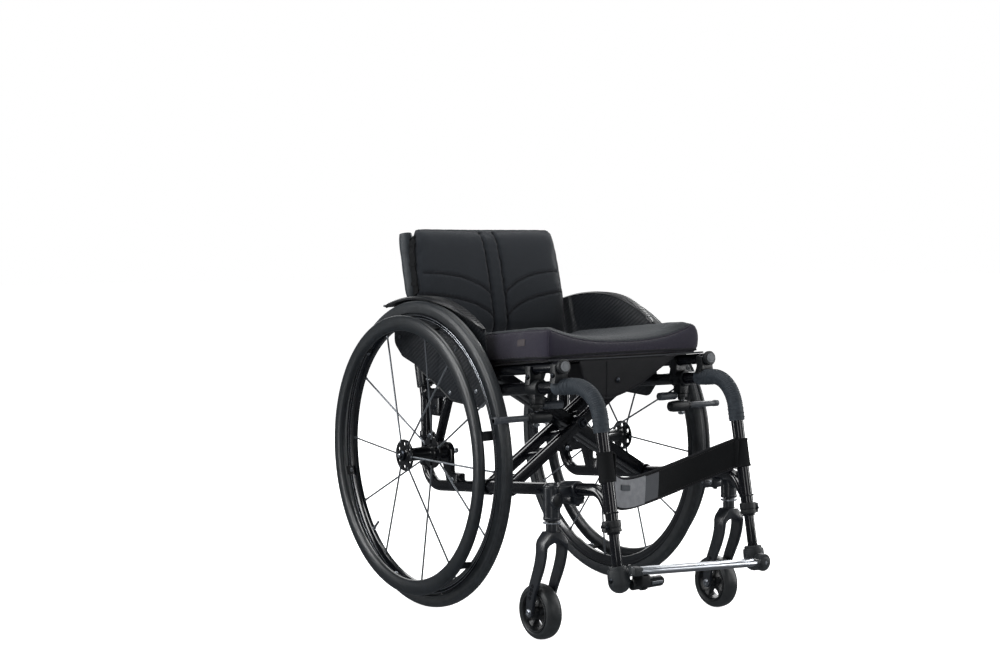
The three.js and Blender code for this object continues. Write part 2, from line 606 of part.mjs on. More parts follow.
// The wheel lock: a clamp under the upper tube, the tucked lever and the shoe in front of the tyre.
function brakeMount() {
  const lowY = brake.y - brake.mountLength / 2;
  const highY = brake.y + brake.mountLength / 2;
  const tubeAt = (y) => point(tubeX(y, frame.frontY), y, upperZ(y));
  const ring = rod(tubeAt(lowY), tubeAt(highY), brake.mountRadius);
  const railRoom = block(
    point(0, lowY - overrun, upperZ(brake.y) + frame.tubeRadius / 2),
    point(wheel.planeX, highY + overrun, upperZ(brake.y) + brake.mountRadius + overrun));
  const bodyHigh = upperZ(brake.y) - frame.tubeRadius / 2;
  const leverTop = brake.leverHeight + brake.leverThickness / 2 + gap;
  const leverLow = brake.leverHeight - brake.leverThickness / 2 - gap;
  const shoeTop = brake.shoeHeight + brake.shoeBodyRadius + gap;
  const shoeLow = brake.shoeHeight - brake.shoeBodyRadius - gap;
  const at = (z) => point(brake.pivotX, brake.y, z);
  const plate = rod(at(leverTop), at(bodyHigh), brake.leverDiscRadius - gap);
  const post = rod(at(shoeLow - brake.nutLength), at(bodyHigh), brake.pivotRadius);
  const nut = rod(at(shoeLow - brake.nutLength), at(shoeLow), brake.spacerRadius, 6);
  const spacer = rod(at(shoeTop), at(leverLow), brake.spacerRadius);
  const [from, to] = stretched(tubeAt(lowY), tubeAt(highY), overrun);
  return cut(
    joined(cut(ring, railRoom), plate, post, nut, spacer), rod(from, to, boreRadius(frame.tubeRadius)));
}

function brakeLever() {
  const z = brake.leverHeight;
  const at = (x) => point(x, brake.y, z);
  const up = (rise) => point(brake.pivotX, brake.y, z + rise);
  const half = brake.leverThickness / 2;
  const disc = rod(up(-half), up(half), brake.leverDiscRadius);
  const grip = rod(at(brake.leverTipX), at(brake.pivotX - brake.leverDiscRadius), brake.gripRadius);
  const neck = rod(at(brake.leverTipX), at(brake.pivotX), half);
  const bore = rod(up(-half - overrun), up(half + overrun), boreRadius(brake.pivotRadius));
  return cut(joined(disc, grip, neck), bore);
}

function brakeShoe() {
  const z = brake.shoeHeight;
  const at = (x) => point(x, brake.y, z);
  const reach = brake.shoeBodyRadius + overrun;
  const body = rod(at(brake.shoeBodyInnerX), at(brake.shoeBodyOuterX), brake.shoeBodyRadius);
  const shoeBar = rod(at(brake.pivotX), at(brake.shoeTipX), brake.shoeRodRadius);
  const bore = rod(
    point(brake.pivotX, brake.y, z - reach), point(brake.pivotX, brake.y, z + reach),
    boreRadius(brake.pivotRadius));
  return cut(joined(body, shoeBar), bore);
}

// Rear wheel pieces, about the wheel's centre, with X along the axle and outward.
function tyrePiece() {
  const inner = wheel.radius - wheel.tyreDepth;
  return turned(
    roundedProfile(wheel.tyreWidth / 2, wheel.radius, wheel.tyreCrown, inner, 4), wheel.segments);
}

function rimPiece() {
  const outer = wheel.radius - wheel.tyreDepth - gap;
  const half = wheel.rimWidth / 2;
  const shoulder = (wheel.radius - wheel.tyreDepth + rimInner) / 2;
  const profile = [
    [-half, outer], [half, outer], [half, shoulder], [half / 2, rimInner],
    [-half / 2, rimInner], [-half, shoulder],
  ];
  const angle = radians(wheel.valveAngle);
  const along = (r) => point(0, r * Math.cos(angle), r * Math.sin(angle));
  const valve = rod(
    along(rimInner + half / 2), along(rimInner - wheel.valveLength), wheel.valveRadius, 8);
  return joined(turned(profile, wheel.segments), valve);
}

function hubPiece() {
  const half = hub.flangeThickness / 2;
  const bore = boreRadius(axle.radius, gap, fineSides);
  const profile = [
    [-hub.innerReach, bore], [-hub.innerReach, hub.bodyRadius], [-hub.innerFlange - half, hub.bodyRadius],
    [-hub.innerFlange - half, hub.flangeRadius], [-hub.innerFlange + half, hub.flangeRadius],
    [-hub.innerFlange + half, hub.bodyRadius], [hub.outerFlange - half, hub.bodyRadius],
    [hub.outerFlange - half, hub.flangeRadius], [hub.outerFlange + half, hub.flangeRadius],
    [hub.outerFlange + half, hub.noseRadius], [hub.outerReach, hub.noseRadius], [hub.outerReach, bore],
  ];
  const holes = Array.from({ length: hub.holes }, (_, i) => {
    const angle = 2 * Math.PI * (i + 0.5) / hub.holes;
    const at = (x) => point(x, hub.holeCircle * Math.cos(angle), hub.holeCircle * Math.sin(angle));
    return [
      rod(at(-hub.innerReach), at(-hub.innerFlange + overrun), hub.holeRadius, 6),
      rod(at(hub.outerFlange - overrun), at(hub.outerReach), hub.holeRadius, 6),
    ];
  }).flat();
  const spokeEnd = rimInner * Math.cos(Math.PI / wheel.segments) - hub.spokeGap;
  const spokes = Array.from({ length: hub.spokes }, (_, i) => {
    const angle = radians(hub.spokeAngle) + 2 * Math.PI * i / hub.spokes;
    const at = (x, radius) => point(x, radius * Math.cos(angle), radius * Math.sin(angle));
    const outerSide = i % 2 === 0;
    return rod(
      at(outerSide ? hub.outerFlange : -hub.innerFlange, hub.spokeCircle),
      at(outerSide ? hub.spokeSpread : -hub.spokeSpread, spokeEnd), hub.spokeRadius, hub.spokeSides);
  });
  return joined(cut(turned(profile, fineSides), ...holes), ...spokes);
}

function pushrimPiece() {
  const profile = Array.from({ length: pushrim.sides }, (_, k) => {
    const angle = 2 * Math.PI * k / pushrim.sides;
    return [
      pushrim.offset + pushrim.halfWidth * Math.cos(angle),
      wheel.radius - pushrim.inset + pushrim.halfDepth * Math.sin(angle),
    ];
  });
  const tabs = Array.from({ length: pushrim.tabs }, (_, i) => {
    const lowX = wheel.rimWidth / 2 + gap;
    const highX = pushrim.offset - pushrim.halfWidth / 2;
    const geometry = new THREE.BoxGeometry(highX - lowX, pushrim.tabWidth, pushrim.tabThickness);
    geometry.translate((lowX + highX) / 2, 0, wheel.radius - pushrim.tabInset);
    geometry.rotateX(radians(pushrim.tabAngle - 90) + 2 * Math.PI * i / pushrim.tabs);
    return solid(geometry);
  });
  return joined(turned(profile, wheel.segments), ...tabs);
}

// The quick-release axle, along X from the wheel's centre, and the button in its head.
const pinInnerX = axle.bossInnerX - gap - axle.nutLength - wheel.planeX;
const pinHeadX = hub.outerReach + gap;

function axlePin() {
  const at = (x) => point(x, 0, 0);
  const shaft = rod(at(pinInnerX), at(pinHeadX), axle.radius);
  const tip = rod(at(pinInnerX - axle.tipLength), at(pinInnerX), axle.tipRadius);
  const nut = rod(at(pinInnerX), at(pinInnerX + axle.nutLength), axle.nutRadius, 6);
  const head = rod(at(pinHeadX), at(pinHeadX + axle.headLength), axle.headRadius, fineSides);
  const recess = rod(
    at(pinHeadX + axle.headLength - axle.buttonDepth - axle.buttonTravel - gap),
    at(pinHeadX + axle.headLength + overrun), boreRadius(axle.buttonRadius));
  return cut(joined(shaft, tip, nut, head), recess);
}

function axleButton() {
  const face = pinHeadX + axle.headLength;
  return rod(
    point(face - axle.buttonDepth, 0, 0), point(face + axle.buttonProud, 0, 0), axle.buttonRadius);
}

// The seat rail with its front end cap.
function seatRail() {
  const at = (y) => point(frame.halfWidth, y, railZ(y));
  return joined(
    rod(at(rail.frontY), at(rail.rearY), rail.radius),
    rod(at(rail.frontY - rail.capLength), at(rail.frontY + rail.capLength), rail.capRadius));
}

// The cross brace, laid out across the chair in a plane square to the side tubes.
// Local X runs across, local Y along the tubes to the rear and local Z square to them.
const braceAngle = Math.atan2(rail.rise, 2 * frame.halfWidth);
const braceLength = Math.hypot(rail.rise, 2 * frame.halfWidth);
const armStart = (frame.tubeRadius + brace.ringRadius) / 2;

function braceMember(lowY, highY, height, from, to) {
  const geometry = new THREE.BoxGeometry(to - from, highY - lowY, height);
  geometry.translate((from + to) / 2, (lowY + highY) / 2, 0);
  return geometry;
}

// Turns and moves a shape laid along X from the lower pivot to its place on the arm.
function onArm(geometry) {
  geometry.rotateY(-braceAngle);
  geometry.translate(-frame.halfWidth, 0, 0);
  return solid(geometry);
}

function pivotRing(lowY, highY) {
  return rod(point(-frame.halfWidth, lowY, 0), point(-frame.halfWidth, highY, 0), brace.ringRadius);
}

function braceBores(lowY, highY) {
  const lower = rod(
    point(-frame.halfWidth, lowY - overrun, 0), point(-frame.halfWidth, highY + overrun, 0),
    boreRadius(frame.tubeRadius, runGap));
  const centre = rod(
    point(0, lowY - overrun, rail.rise / 2), point(0, highY + overrun, rail.rise / 2),
    boreRadius(brace.boltRadius));
  const upper = rod(
    point(frame.halfWidth, lowY - overrun, rail.rise), point(frame.halfWidth, highY + overrun, rail.rise),
    boreRadius(rail.radius));
  const overRail = block(
    point(0, lowY - overrun, rail.rise + rail.radius / 2),
    point(frame.halfWidth + brace.ringRadius, highY + overrun, rail.rise + brace.ringRadius));
  return [lower, centre, upper, overRail];
}

function railRing(lowY, highY) {
  return rod(
    point(frame.halfWidth, lowY, rail.rise), point(frame.halfWidth, highY, rail.rise),
    brace.ringRadius - gap);
}

// Arm A is a ladder: a front and a rear member with rungs, on the right pivot and the left rail.
function braceArmA() {
  const half = brace.ladderHalf;
  const inner = half - brace.ladderRail;
  const to = braceLength - armStart;
  const members = [[-half, -inner], [inner, half]].map(([low, high]) => onArm(
    braceMember(low, high, brace.ladderHeight, armStart, to)));
  const bosses = [[-half, -inner], [inner, half]].map(([low, high]) => rod(
    point(0, low, rail.rise / 2), point(0, high, rail.rise / 2), brace.bossRadius));
  const span = braceLength / 2 - brace.endInset * 2;
  const rungs = [];
  for (let i = 0; i < brace.rungs; i++) {
    const step = span * i / (brace.rungs - 1);
    for (const start of [brace.endInset + step, braceLength - brace.endInset - step]) {
      const geometry = new THREE.BoxGeometry(brace.rungWidth, inner * 2 + overrun, brace.rungThickness);
      geometry.translate(start, 0, 0);
      rungs.push(onArm(geometry));
    }
  }
  const rings = [[-half, -inner], [inner, half]].map(([low, high]) => joined(
    pivotRing(low, high), railRing(low, high)));
  return cut(joined(...members, ...bosses, ...rings, ...rungs), ...braceBores(-half, half));
}

// Arm B is one deep beam that runs between arm A's members, on the left pivot and the right rail.
function braceArmB() {
  const half = brace.beamHalf;
  const beam = onArm(braceMember(-half, half, brace.beamHeight, armStart, braceLength - armStart));
  const boss = rod(point(0, -half, rail.rise / 2), point(0, half, rail.rise / 2), brace.bossRadius);
  return cut(
    joined(beam, boss, pivotRing(-half, half), railRing(-half, half)), ...braceBores(-half, half));
}

function braceBolt() {
  const at = (y) => point(0, y, rail.rise / 2);
  const end = brace.ladderHalf + gap;
  return joined(
    rod(at(-end - brace.boltHead), at(end + brace.boltHead), brace.boltRadius),
    rod(at(-end - brace.boltHead), at(-end), brace.boltHeadRadius, 6),
    rod(at(end), at(end + brace.boltHead), brace.boltHeadRadius, 6));
}

// The flip-up footrest: an eye on the left bracket's pin, a flat oval bar, and its latch on the right.
function footrestBar() {
  const lowY = footrest.y - footrest.eyeWidth / 2;
  const highY = footrest.y + footrest.eyeWidth / 2;
  const length = footrest.pivotX + footrest.tipX;
  const eye = rod(point(0, lowY, 0), point(0, highY, 0), footrest.eyeRadius);
  const neck = block(point(-length, lowY, -footrest.thickness / 2), point(0, highY, footrest.thickness / 2));
  const oval = new THREE.Shape(ringPoints(footrest.width / 2, 16, footrest.thickness / footrest.width));
  const wide = length - 2 * footrest.wideInset;
  const geometry = new THREE.ExtrudeGeometry(oval, { depth: wide, bevelEnabled: false });
  geometry.rotateY(-Math.PI / 2);
  geometry.rotateX(Math.PI / 2);
  geometry.translate(-footrest.wideInset, footrest.y, 0);
  const bore = rod(
    point(0, lowY - overrun, 0), point(0, highY + overrun, 0), boreRadius(footrest.pinRadius));
  return cut(joined(eye, neck, solid(geometry)), bore);
}

function footrestLatch() {
  const at = (x) => point(-x, footrest.latchY, footrest.latchHeight);
  const bracket = legPoint(leg.bracketFootHeight + leg.bracketRadius);
  const stub = rod(at(footrest.latchTipX), at(bracket.x), footrest.latchRadius);
  const ring = rod(
    at(footrest.latchCollarX), at(footrest.latchCollarX + footrest.latchCollarLength),
    footrest.latchCollarRadius);
  const underside = (x) => footrest.pivotHeight + (x + footrest.pivotX) * Math.tan(radians(footrest.tilt))
    - footrest.thickness / 2 / Math.cos(radians(footrest.tilt)) - gap;
  const noseHigh = footrest.noseX + footrest.noseWidth;
  const nose = plateY([
    [-noseHigh, footrest.latchHeight], [-footrest.noseX, footrest.latchHeight],
    [-footrest.noseX, underside(footrest.noseX)], [-noseHigh, underside(noseHigh)],
  ], footrest.latchY - footrest.noseDepth, footrest.latchY + footrest.latchRadius / 2);
  const room = solid(new THREE.SphereGeometry(leg.bracketRadius + footrest.latchRoom, 20, 10)
    .translate(-bracket.x, bracket.y, bracket.z));
  const [from, to] = stretched(
    legPoint(leg.bracketFootHeight + leg.bracketRadius), legPoint(leg.bracketTopHeight), overrun);
  from.x = -from.x;
  to.x = -to.x;
  return cut(
    joined(stub, ring, nose), room,
    rod(from, to, boreRadius(leg.bracketRadius, gap, leg.bracketSides), leg.bracketSides));
}

// A closed soft form: a fine box from -1 to 1 on each axis whose points are moved into place.
function softForm(steps, place) {
  const geometry = new THREE.BoxGeometry(2, 2, 2, ...steps);
  const places = geometry.attributes.position;
  for (let i = 0; i < places.count; i++) {
    const moved = place(places.getX(i), places.getY(i), places.getZ(i));
    places.setXYZ(i, moved.x, moved.y, moved.z);
  }
  return solid(geometry);
}

// Draws a form's corners in: u is the share across, v the share along the edge.
function cornerDraw(u, v, share) {
  return u * (1 - share * Math.pow(Math.abs(v), 8) * Math.abs(u));
}

// The seat sling over the rails, with the pouch that hangs under its front.
const slingLow = (y) => railZ(y) + (rail.radius + gap) / cosSlope;

function seatSling() {
  const sheet = plateX([
    [sling.frontY, slingLow(sling.frontY)], [sling.rearY, slingLow(sling.rearY)],
    [sling.rearY, slingLow(sling.rearY) + sling.thickness],
    [sling.frontY, slingLow(sling.frontY) + sling.thickness],
  ], -sling.halfWidth, sling.halfWidth);
  const bag = softForm(sling.pouchSteps, (x, y, z) => {
    const back = (y + 1) / 2;
    const along = sling.frontY + gap + back * sling.pouchLength;
    const rearFall = 1 - sling.pouchRearShare * Math.pow(back, sling.rearPower);
    const fall = Math.pow(1 - x * x, sling.sidePower) * rearFall;
    const top = slingLow(along) + sling.thickness / 2;
    const depth = sling.pouchDepth * fall + sling.thickness / 2;
    return point(x * sling.pouchHalfWidth, along, top - (1 - z) / 2 * depth);
  });
  return joined(sheet, bag);
}

// The seat cushion: raised along both sides, scooped between them, with drawn-in sides and round edges.
const cushionLow = (y) => slingLow(y) + sling.thickness + gap;

function seatCushion() {
  const middleY = (cushion.frontY + cushion.rearY) / 2;
  const halfLength = (cushion.rearY - cushion.frontY) / 2;
  return softForm(cushion.steps, (x, y, z) => {
    const draw = 1 - z * z * cushion.sideInset / cushion.halfWidth;
    const across = cornerDraw(x, y, cushion.cornerShare) * cushion.halfWidth * draw;
    const along = middleY + cornerDraw(y, x, cushion.cornerShare) * halfLength * draw;
    const edge = cushion.edgeRadius * Math.pow(Math.max(Math.abs(x), Math.abs(y)), cushion.edgePower);
    const rearFade = 1 - cushion.rearDipShare * (y + 1) / 2;
    const scoop = cushion.dip * (1 - Math.pow(Math.abs(x), cushion.scoopPower)) * rearFade;
    const low = cushion.lowEdgeShare * edge;
    const top = cushion.thickness - scoop - edge;
    return point(across, along, cushionLow(along) + low + (top - low) * (z + 1) / 2);
  });
}

// The padded back: a crowned pad in front of the canes with two upright channels, and a closed pocket
// round each cane.
function backrestUpholstery() {
  const middle = (backrestLow + backrest.topHeight) / 2;
  const halfHeight = (backrest.topHeight - backrestLow) / 2;
  const pad = softForm(backrest.steps, (x, y, z) => {
    const height = middle + y * halfHeight;
    const swell = 1 + backrest.swellShare * (1 - y * y);
    const across = cornerDraw(x, y, backrest.cornerShare) * backrest.halfWidth * swell;
    const channel = [-1, 1].reduce((sum, sign) => sum + Math.exp(
      -Math.pow((across - sign * backrest.seamOffset) / backrest.seamWidth, 2)), 0);
    const edge = Math.max(
      Math.pow(Math.abs(x), backrest.sidePower), Math.pow(Math.abs(y), backrest.endPower));
    const front = backrest.frontReach + backrest.crown * (1 - x * x) * (1 - y * y)
      - backrest.seamDepth * channel - backrest.edgeRadius * edge;
    const reach = THREE.MathUtils.lerp(backrest.rearReach, front, (z + 1) / 2);
    return point(across, backY(height) - reach, height);
  });
  const at = (sign, z) => point(sign * frame.halfWidth, backY(z), z);
  const pocketTop = back.topHeight + back.capHeight + gap;
  const rolls = [-1, 1].map((sign) => rod(
    at(sign, backrestLow + backrest.rollRadius), at(sign, backrest.topHeight - gap),
    backrest.rollRadius));
  const bores = [-1, 1].map((sign) => rod(
    at(sign, backrestLow - overrun), at(sign, pocketTop), boreRadius(back.tubeRadius)));
  return cut(joined(pad, ...rolls), ...bores);
}

// The calf strap between the legs, with a cuff round each leg tube.
function calfStrap() {
  const cuffs = [-1, 1].map((sign) => {
    const at = (z) => {
      const place = legPoint(z);
      place.x *= sign;
      return place;
    };
    return [
      rod(at(strap.cuffLow), at(strap.cuffHigh), strap.cuffRadius),
      rod(at(strap.cuffLow - overrun), at(strap.cuffHigh + overrun), boreRadius(frame.tubeRadius)),
    ];
  });
  const reach = legX - frame.tubeRadius - strap.thickness / 2;
  const bowAt = (t) => Math.pow(t, strap.riseShare) * Math.pow(1 - t, strap.fallShare);
  const lowest = strap.riseShare / (strap.riseShare + strap.fallShare);
  const band = softForm(strap.steps, (x, y, z) => {
    const fall = bowAt((x + 1) / 2) / bowAt(lowest);
    const height = (strap.cuffLow + strap.cuffHigh) / 2 - strap.drop * fall;
    const along = legY((strap.cuffLow + strap.cuffHigh) / 2) + strap.sag * (1 - x * x);
    return point(x * reach, along + y * strap.thickness / 2, height + z * strap.height / 2);
  });
  return cut(joined(band, ...cuffs.map(([cuff]) => cuff)), ...cuffs.map(([, bore]) => bore));
}

// Assembly of one side.
function side(word, mirrored) {
  const group = new THREE.Group();
  const sign = mirrored ? -1 : 1;
  const add = (name, shape, look, parent = group) => parent.add(
    piece(`${word}_${name}`, shape, look, mirrored));
  add('side_frame', sideFrame(), black);
  add('front_sleeve', frontSleeve(), rubber);
  add('front_saddle', railSaddle(saddle.frontY, sleeve.radius), black);
  add('rear_saddle', railSaddle(saddle.rearY, frame.tubeRadius), black);
  add('castor_clamp', castorClampPiece(), black);
  add('castor_housing', castorHousing(), black);
  add('leg_extension', legExtension(), black);
  add('leg_collar', legCollar(), darkPlastic);
  add('foot_bracket', footBracket(!mirrored), darkPlastic);
  add('back_tube', backTube(), black);
  add('back_clamp', backClamp(), black);
  add('sideguard', sideguard(), darkPlastic);
  add('brake_mount', brakeMount(), black);
  add('brake_lever', brakeLever(), darkPlastic);
  add('brake_shoe', brakeShoe(), black);
  add('seat_rail', seatRail(), black);

  const wheelGroup = new THREE.Group();
  wheelGroup.position.set(sign * wheel.planeX, 0, wheel.radius);
  add('tyre', tyrePiece(), rubber, wheelGroup);
  add('rim', rimPiece(), black, wheelGroup);
  add('wheel_hub', hubPiece(), black, wheelGroup);
  add('pushrim', pushrimPiece(), darkPlastic, wheelGroup);
  add('axle_pin', axlePin(), steel, wheelGroup);
  add('axle_button', axleButton(), steel, wheelGroup);
  group.add(wheelGroup);

  const swivelGroup = new THREE.Group();
  swivelGroup.position.set(sign * castor.swivelX, castor.swivelY, 0);
  add('castor_fork', castorFork(), black, swivelGroup);
  const rollerGroup = new THREE.Group();
  rollerGroup.position.copy(castorAxle);
  add('castor_tyre', castorTyre(), rubber, rollerGroup);
  add('castor_hub', castorHub(), darkPlastic, rollerGroup);
  swivelGroup.add(rollerGroup);
  group.add(swivelGroup);
  return group;
}

const chair = new THREE.Group();
chair.add(side('right', true), side('left', false));

// The brace stands square to the side tubes, about the lower tube's centre line.
const braceGroup = new THREE.Group();
braceGroup.position.set(0, brace.centreY, lowerZ(brace.centreY));
braceGroup.rotation.x = -radians(frame.slope);
braceGroup.add(
  piece('brace_arm_a', braceArmA(), black), piece('brace_arm_b', braceArmB(), black, true),
  piece('brace_bolt', braceBolt(), steel));
chair.add(braceGroup);

const footrestGroup = new THREE.Group();
footrestGroup.position.set(footrest.pivotX, 0, footrest.pivotHeight);
footrestGroup.rotation.y = radians(footrest.tilt);
footrestGroup.add(piece('footrest_bar', footrestBar(), polished));
chair.add(footrestGroup, piece('footrest_latch', footrestLatch(), darkPlastic));

chair.add(
  piece('seat_sling', seatSling(), cloth), piece('seat_cushion', seatCushion(), cushionCloth),
  piece('backrest_upholstery', backrestUpholstery(), cloth), piece('calf_strap', calfStrap(), cloth));

// The chair stands on its tyres with the middle of its outline over the origin.
const outline = new THREE.Box3().setFromObject(chair);
chair.position.y = -(outline.min.y + outline.max.y) / 2;

const part = new THREE.Group();
part.add(chair);

export default part;
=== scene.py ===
import math

import bmesh
import bpy
import numpy as np
from mathutils import Matrix, Vector
from mathutils.bvhtree import BVHTree


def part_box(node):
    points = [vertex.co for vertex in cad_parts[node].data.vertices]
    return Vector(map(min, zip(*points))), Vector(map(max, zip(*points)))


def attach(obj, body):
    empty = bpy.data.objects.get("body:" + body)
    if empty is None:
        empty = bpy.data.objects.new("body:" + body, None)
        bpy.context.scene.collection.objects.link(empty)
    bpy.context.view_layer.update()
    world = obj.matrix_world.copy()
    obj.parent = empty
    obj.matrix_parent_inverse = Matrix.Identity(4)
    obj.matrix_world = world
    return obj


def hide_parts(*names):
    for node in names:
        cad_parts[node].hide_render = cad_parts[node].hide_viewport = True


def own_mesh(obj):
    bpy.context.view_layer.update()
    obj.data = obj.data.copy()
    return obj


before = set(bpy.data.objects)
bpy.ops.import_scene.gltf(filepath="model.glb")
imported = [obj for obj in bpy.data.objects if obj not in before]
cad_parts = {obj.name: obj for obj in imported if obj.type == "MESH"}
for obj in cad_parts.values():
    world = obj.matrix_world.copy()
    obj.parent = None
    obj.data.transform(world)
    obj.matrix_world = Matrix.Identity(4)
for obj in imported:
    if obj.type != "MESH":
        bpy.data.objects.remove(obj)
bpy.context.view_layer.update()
scene = bpy.context.scene
axleY = sum(corner.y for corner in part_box("left_tyre")) * 500  # the rear axle, where every y below starts


def added(name, data):
    made = bpy.data.objects.new(name, data)
    scene.collection.objects.link(made)
    return made


print("camera, lights and floor")
view = {"place": (-1.8518, -2.4415, 0.6843), "lens": 55.908, "yaw": -0.6124, "pitch": 0.0493, "roll": -0.0079}
studio = {"sky": 0.16, "reflected": 0.12, "floor": 0.80, "glow": 0.92, "floorReach": 40.0, "floorDrop": 0.0006}
softboxes = {  # watts, place, the height it looks at, width and height
    "key": (52, (-2.7, 0.0, 2.3), 0.4, 1.5, 1.1), "fill": (15, (0.6, -3.4, 1.3), 0.4, 1.0, 1.6),
    "top": (34, (0.1, 0.2, 2.7), 0.4, 1.6, 1.6), "rim": (34, (2.5, 1.2, 1.6), 0.4, 0.7, 1.8),
    "front": (6, (-2.2, -2.6, 0.5), 0.35, 0.35, 1.2), "back": (36, (1.9, 2.5, 1.3), 0.4, 3.0, 2.0),
    "strip0": (46, (-2.6, 1.5, 1.3), 0.4, 0.5, 2.6), "strip1": (46, (2.7, -1.5, 1.2), 0.4, 0.5, 2.6),
}


def addCamera():
    yaw, pitch, roll = view["yaw"], view["pitch"], view["roll"]
    ahead = Vector((-math.sin(yaw) * math.cos(pitch), math.cos(yaw) * math.cos(pitch), -math.sin(pitch)))
    right = Vector((math.cos(yaw), math.sin(yaw), 0))
    up = right.cross(ahead)
    acrossAxis = math.cos(roll) * right + math.sin(roll) * up
    upAxis = -math.sin(roll) * right + math.cos(roll) * up
    camera = added("camera", bpy.data.cameras.new("camera"))
    camera.data.lens = view["lens"]
    camera.data.sensor_width = 36
    camera.data.clip_end = 60
    camera.matrix_world = Matrix.Translation(view["place"]) @ Matrix(
        (acrossAxis, upAxis, -ahead)).transposed().to_4x4()
    scene.camera = camera


def addSoftbox(name, power, place, lookedAt, width, height):
    light = bpy.data.lights.new(name, "AREA")
    light.shape = "RECTANGLE"
    light.energy, light.size, light.size_y = power, width, height
    turn = (Vector((0, 0, lookedAt)) - Vector(place)).to_track_quat("-Z", "Y")
    added(name, light).matrix_world = Matrix.Translation(place) @ turn.to_matrix().to_4x4()


addCamera()
for name, box in softboxes.items():
    addSoftbox(name, *box)
scene.view_settings.view_transform = "Standard"
scene.view_settings.look = "None"


# A number on a socket. Sums written with it add their Math nodes.
class Number:
    def __init__(self, tree, socket):
        self.tree, self.socket = tree, socket

    def maths(self, operation, *values, clamp=False):
        return self.tree.node("ShaderNodeMath", {"operation": operation, "use_clamp": clamp},
                              dict(enumerate(values)))

    def __add__(self, other): return self.maths("ADD", self, other)
    def __mul__(self, other): return self.maths("MULTIPLY", self, other)
    def __truediv__(self, other): return self.maths("DIVIDE", self, other)
    def sine(self): return self.maths("SINE", self)
    def clamped(self): return self.maths("ADD", self, 0.0, clamp=True)


class Nodes:
    def __init__(self, tree):
        self.tree = tree
        tree.nodes.clear()

    def node(self, kind, settings=None, sockets=None, out=0):
        made = self.tree.nodes.new(kind)
        for key, value in (settings or {}).items():
            if key == "stops":
                ramp = made.color_ramp
                while len(ramp.elements) < len(value):
                    ramp.elements.new(0.5)
                for element, (place, shade) in zip(ramp.elements, value):
                    element.position, element.color = place, (*shade, 1) if len(shade) == 3 else shade
            else:
                setattr(made, key, value)
        shown = [socket for socket in made.inputs if socket.enabled]
        for key, value in (sockets or {}).items():
            socket = shown[key] if isinstance(key, int) else next(s for s in shown if s.name == key)
            if isinstance(value, Number):
                self.tree.links.new(value.socket, socket)
            elif isinstance(value, bpy.types.NodeSocket):
                self.tree.links.new(value, socket)
            elif socket.type == "RGBA" and len(value) == 3:
                socket.default_value = (*value, 1)
            else:
                socket.default_value = value
        given = [socket for socket in made.outputs if socket.enabled]
        found = given[out] if isinstance(out, int) else next(s for s in given if s.name == out)
        return Number(self, found)

    def end(self, kind, socket, value):
        self.tree.links.new(value.socket, self.tree.nodes.new(kind).inputs[socket])


def addWorld():
    world = bpy.data.worlds.new("studio")
    world.use_nodes = True
    scene.world = world
    tree = Nodes(world.node_tree)
    seen = tree.node("ShaderNodeLightPath", out="Is Camera Ray")
    shine = tree.node("ShaderNodeLightPath", out="Is Glossy Ray")
    sky, dim, white = [tree.node("ShaderNodeBackground", sockets={"Color": shade, "Strength": strength})
                       for shade, strength in (((1, 1, 1), studio["sky"]),
                                               ((0.9, 0.95, 1), studio["reflected"]), ((1, 1, 1), 1.0))]
    lit = tree.node("ShaderNodeMixShader", sockets={0: shine, 1: sky, 2: dim})
    shown = tree.node("ShaderNodeMixShader", sockets={0: seen, 1: lit, 2: white})
    tree.end("ShaderNodeOutputWorld", "Surface", shown)


def linear(red, green, blue):  # a screen colour, 0 to 255, as the shader takes it
    return tuple(((c / 255 + 0.055) / 1.055) ** 2.4 if c > 10 else c / 255 / 12.92 for c in (red, green, blue))


shaderSockets = {
    "specular": "Specular IOR Level", "coat": "Coat Weight", "coatRoughness": "Coat Roughness",
    "sheen": "Sheen Weight", "sheenRoughness": "Sheen Roughness", "metallic": "Metallic",
    "glow": "Emission Strength", "glowColor": "Emission Color",
}


# A finish: a Principled shader whose colour, roughness and bump come from the nodes that build() adds.
def finish(name, build, **fixed):
    material = bpy.data.materials.new(name)
    material.use_nodes = True
    tree = Nodes(material.node_tree)
    place = tree.node("ShaderNodeTexCoord", out="Object")
    sockets = build(tree, place)
    bumps = sockets.pop("bumps", [])
    normal = None
    for height, distance in bumps:
        inputs = {"Height": height, "Distance": distance, "Strength": 1.0}
        if normal:
            inputs["Normal"] = normal
        normal = tree.node("ShaderNodeBump", sockets=inputs)
    if normal:
        sockets["Normal"] = normal
    sockets.update({shaderSockets[key]: value for key, value in fixed.items()})
    tree.end("ShaderNodeOutputMaterial", "Surface", tree.node("ShaderNodeBsdfPrincipled", sockets=sockets))
    material.diffuse_color = (0.05, 0.05, 0.05, 1)
    return material


# A finish from a kind of nodes and two screen colours that it varies between.
def finishOf(name, kind, low, high, *values, **more):
    fixed = {key: more.pop(key) for key in list(more) if key in shaderSockets}
    return finish(name, kind(linear(*low), linear(*high), *values, **more), **fixed)


def noise(tree, place, scale, detail=3.0, roughness=0.55):
    return tree.node("ShaderNodeTexNoise", sockets={
        "Vector": place, "Scale": scale, "Detail": detail, "Roughness": roughness})


def shades(tree, factor, low, high):
    return tree.node("ShaderNodeMix", {"data_type": "RGBA", "clamp_factor": True},
                     {"Factor": factor, "A": low, "B": high})


def spread(tree, value, low, high, fromLow=0.3, fromHigh=0.7):
    return tree.node("ShaderNodeMapRange", sockets={0: value, 1: fromLow, 2: fromHigh, 3: low, 4: high})


def axisOf(tree, place, axis):
    return tree.node("ShaderNodeSeparateXYZ", sockets={0: place}, out=axis)


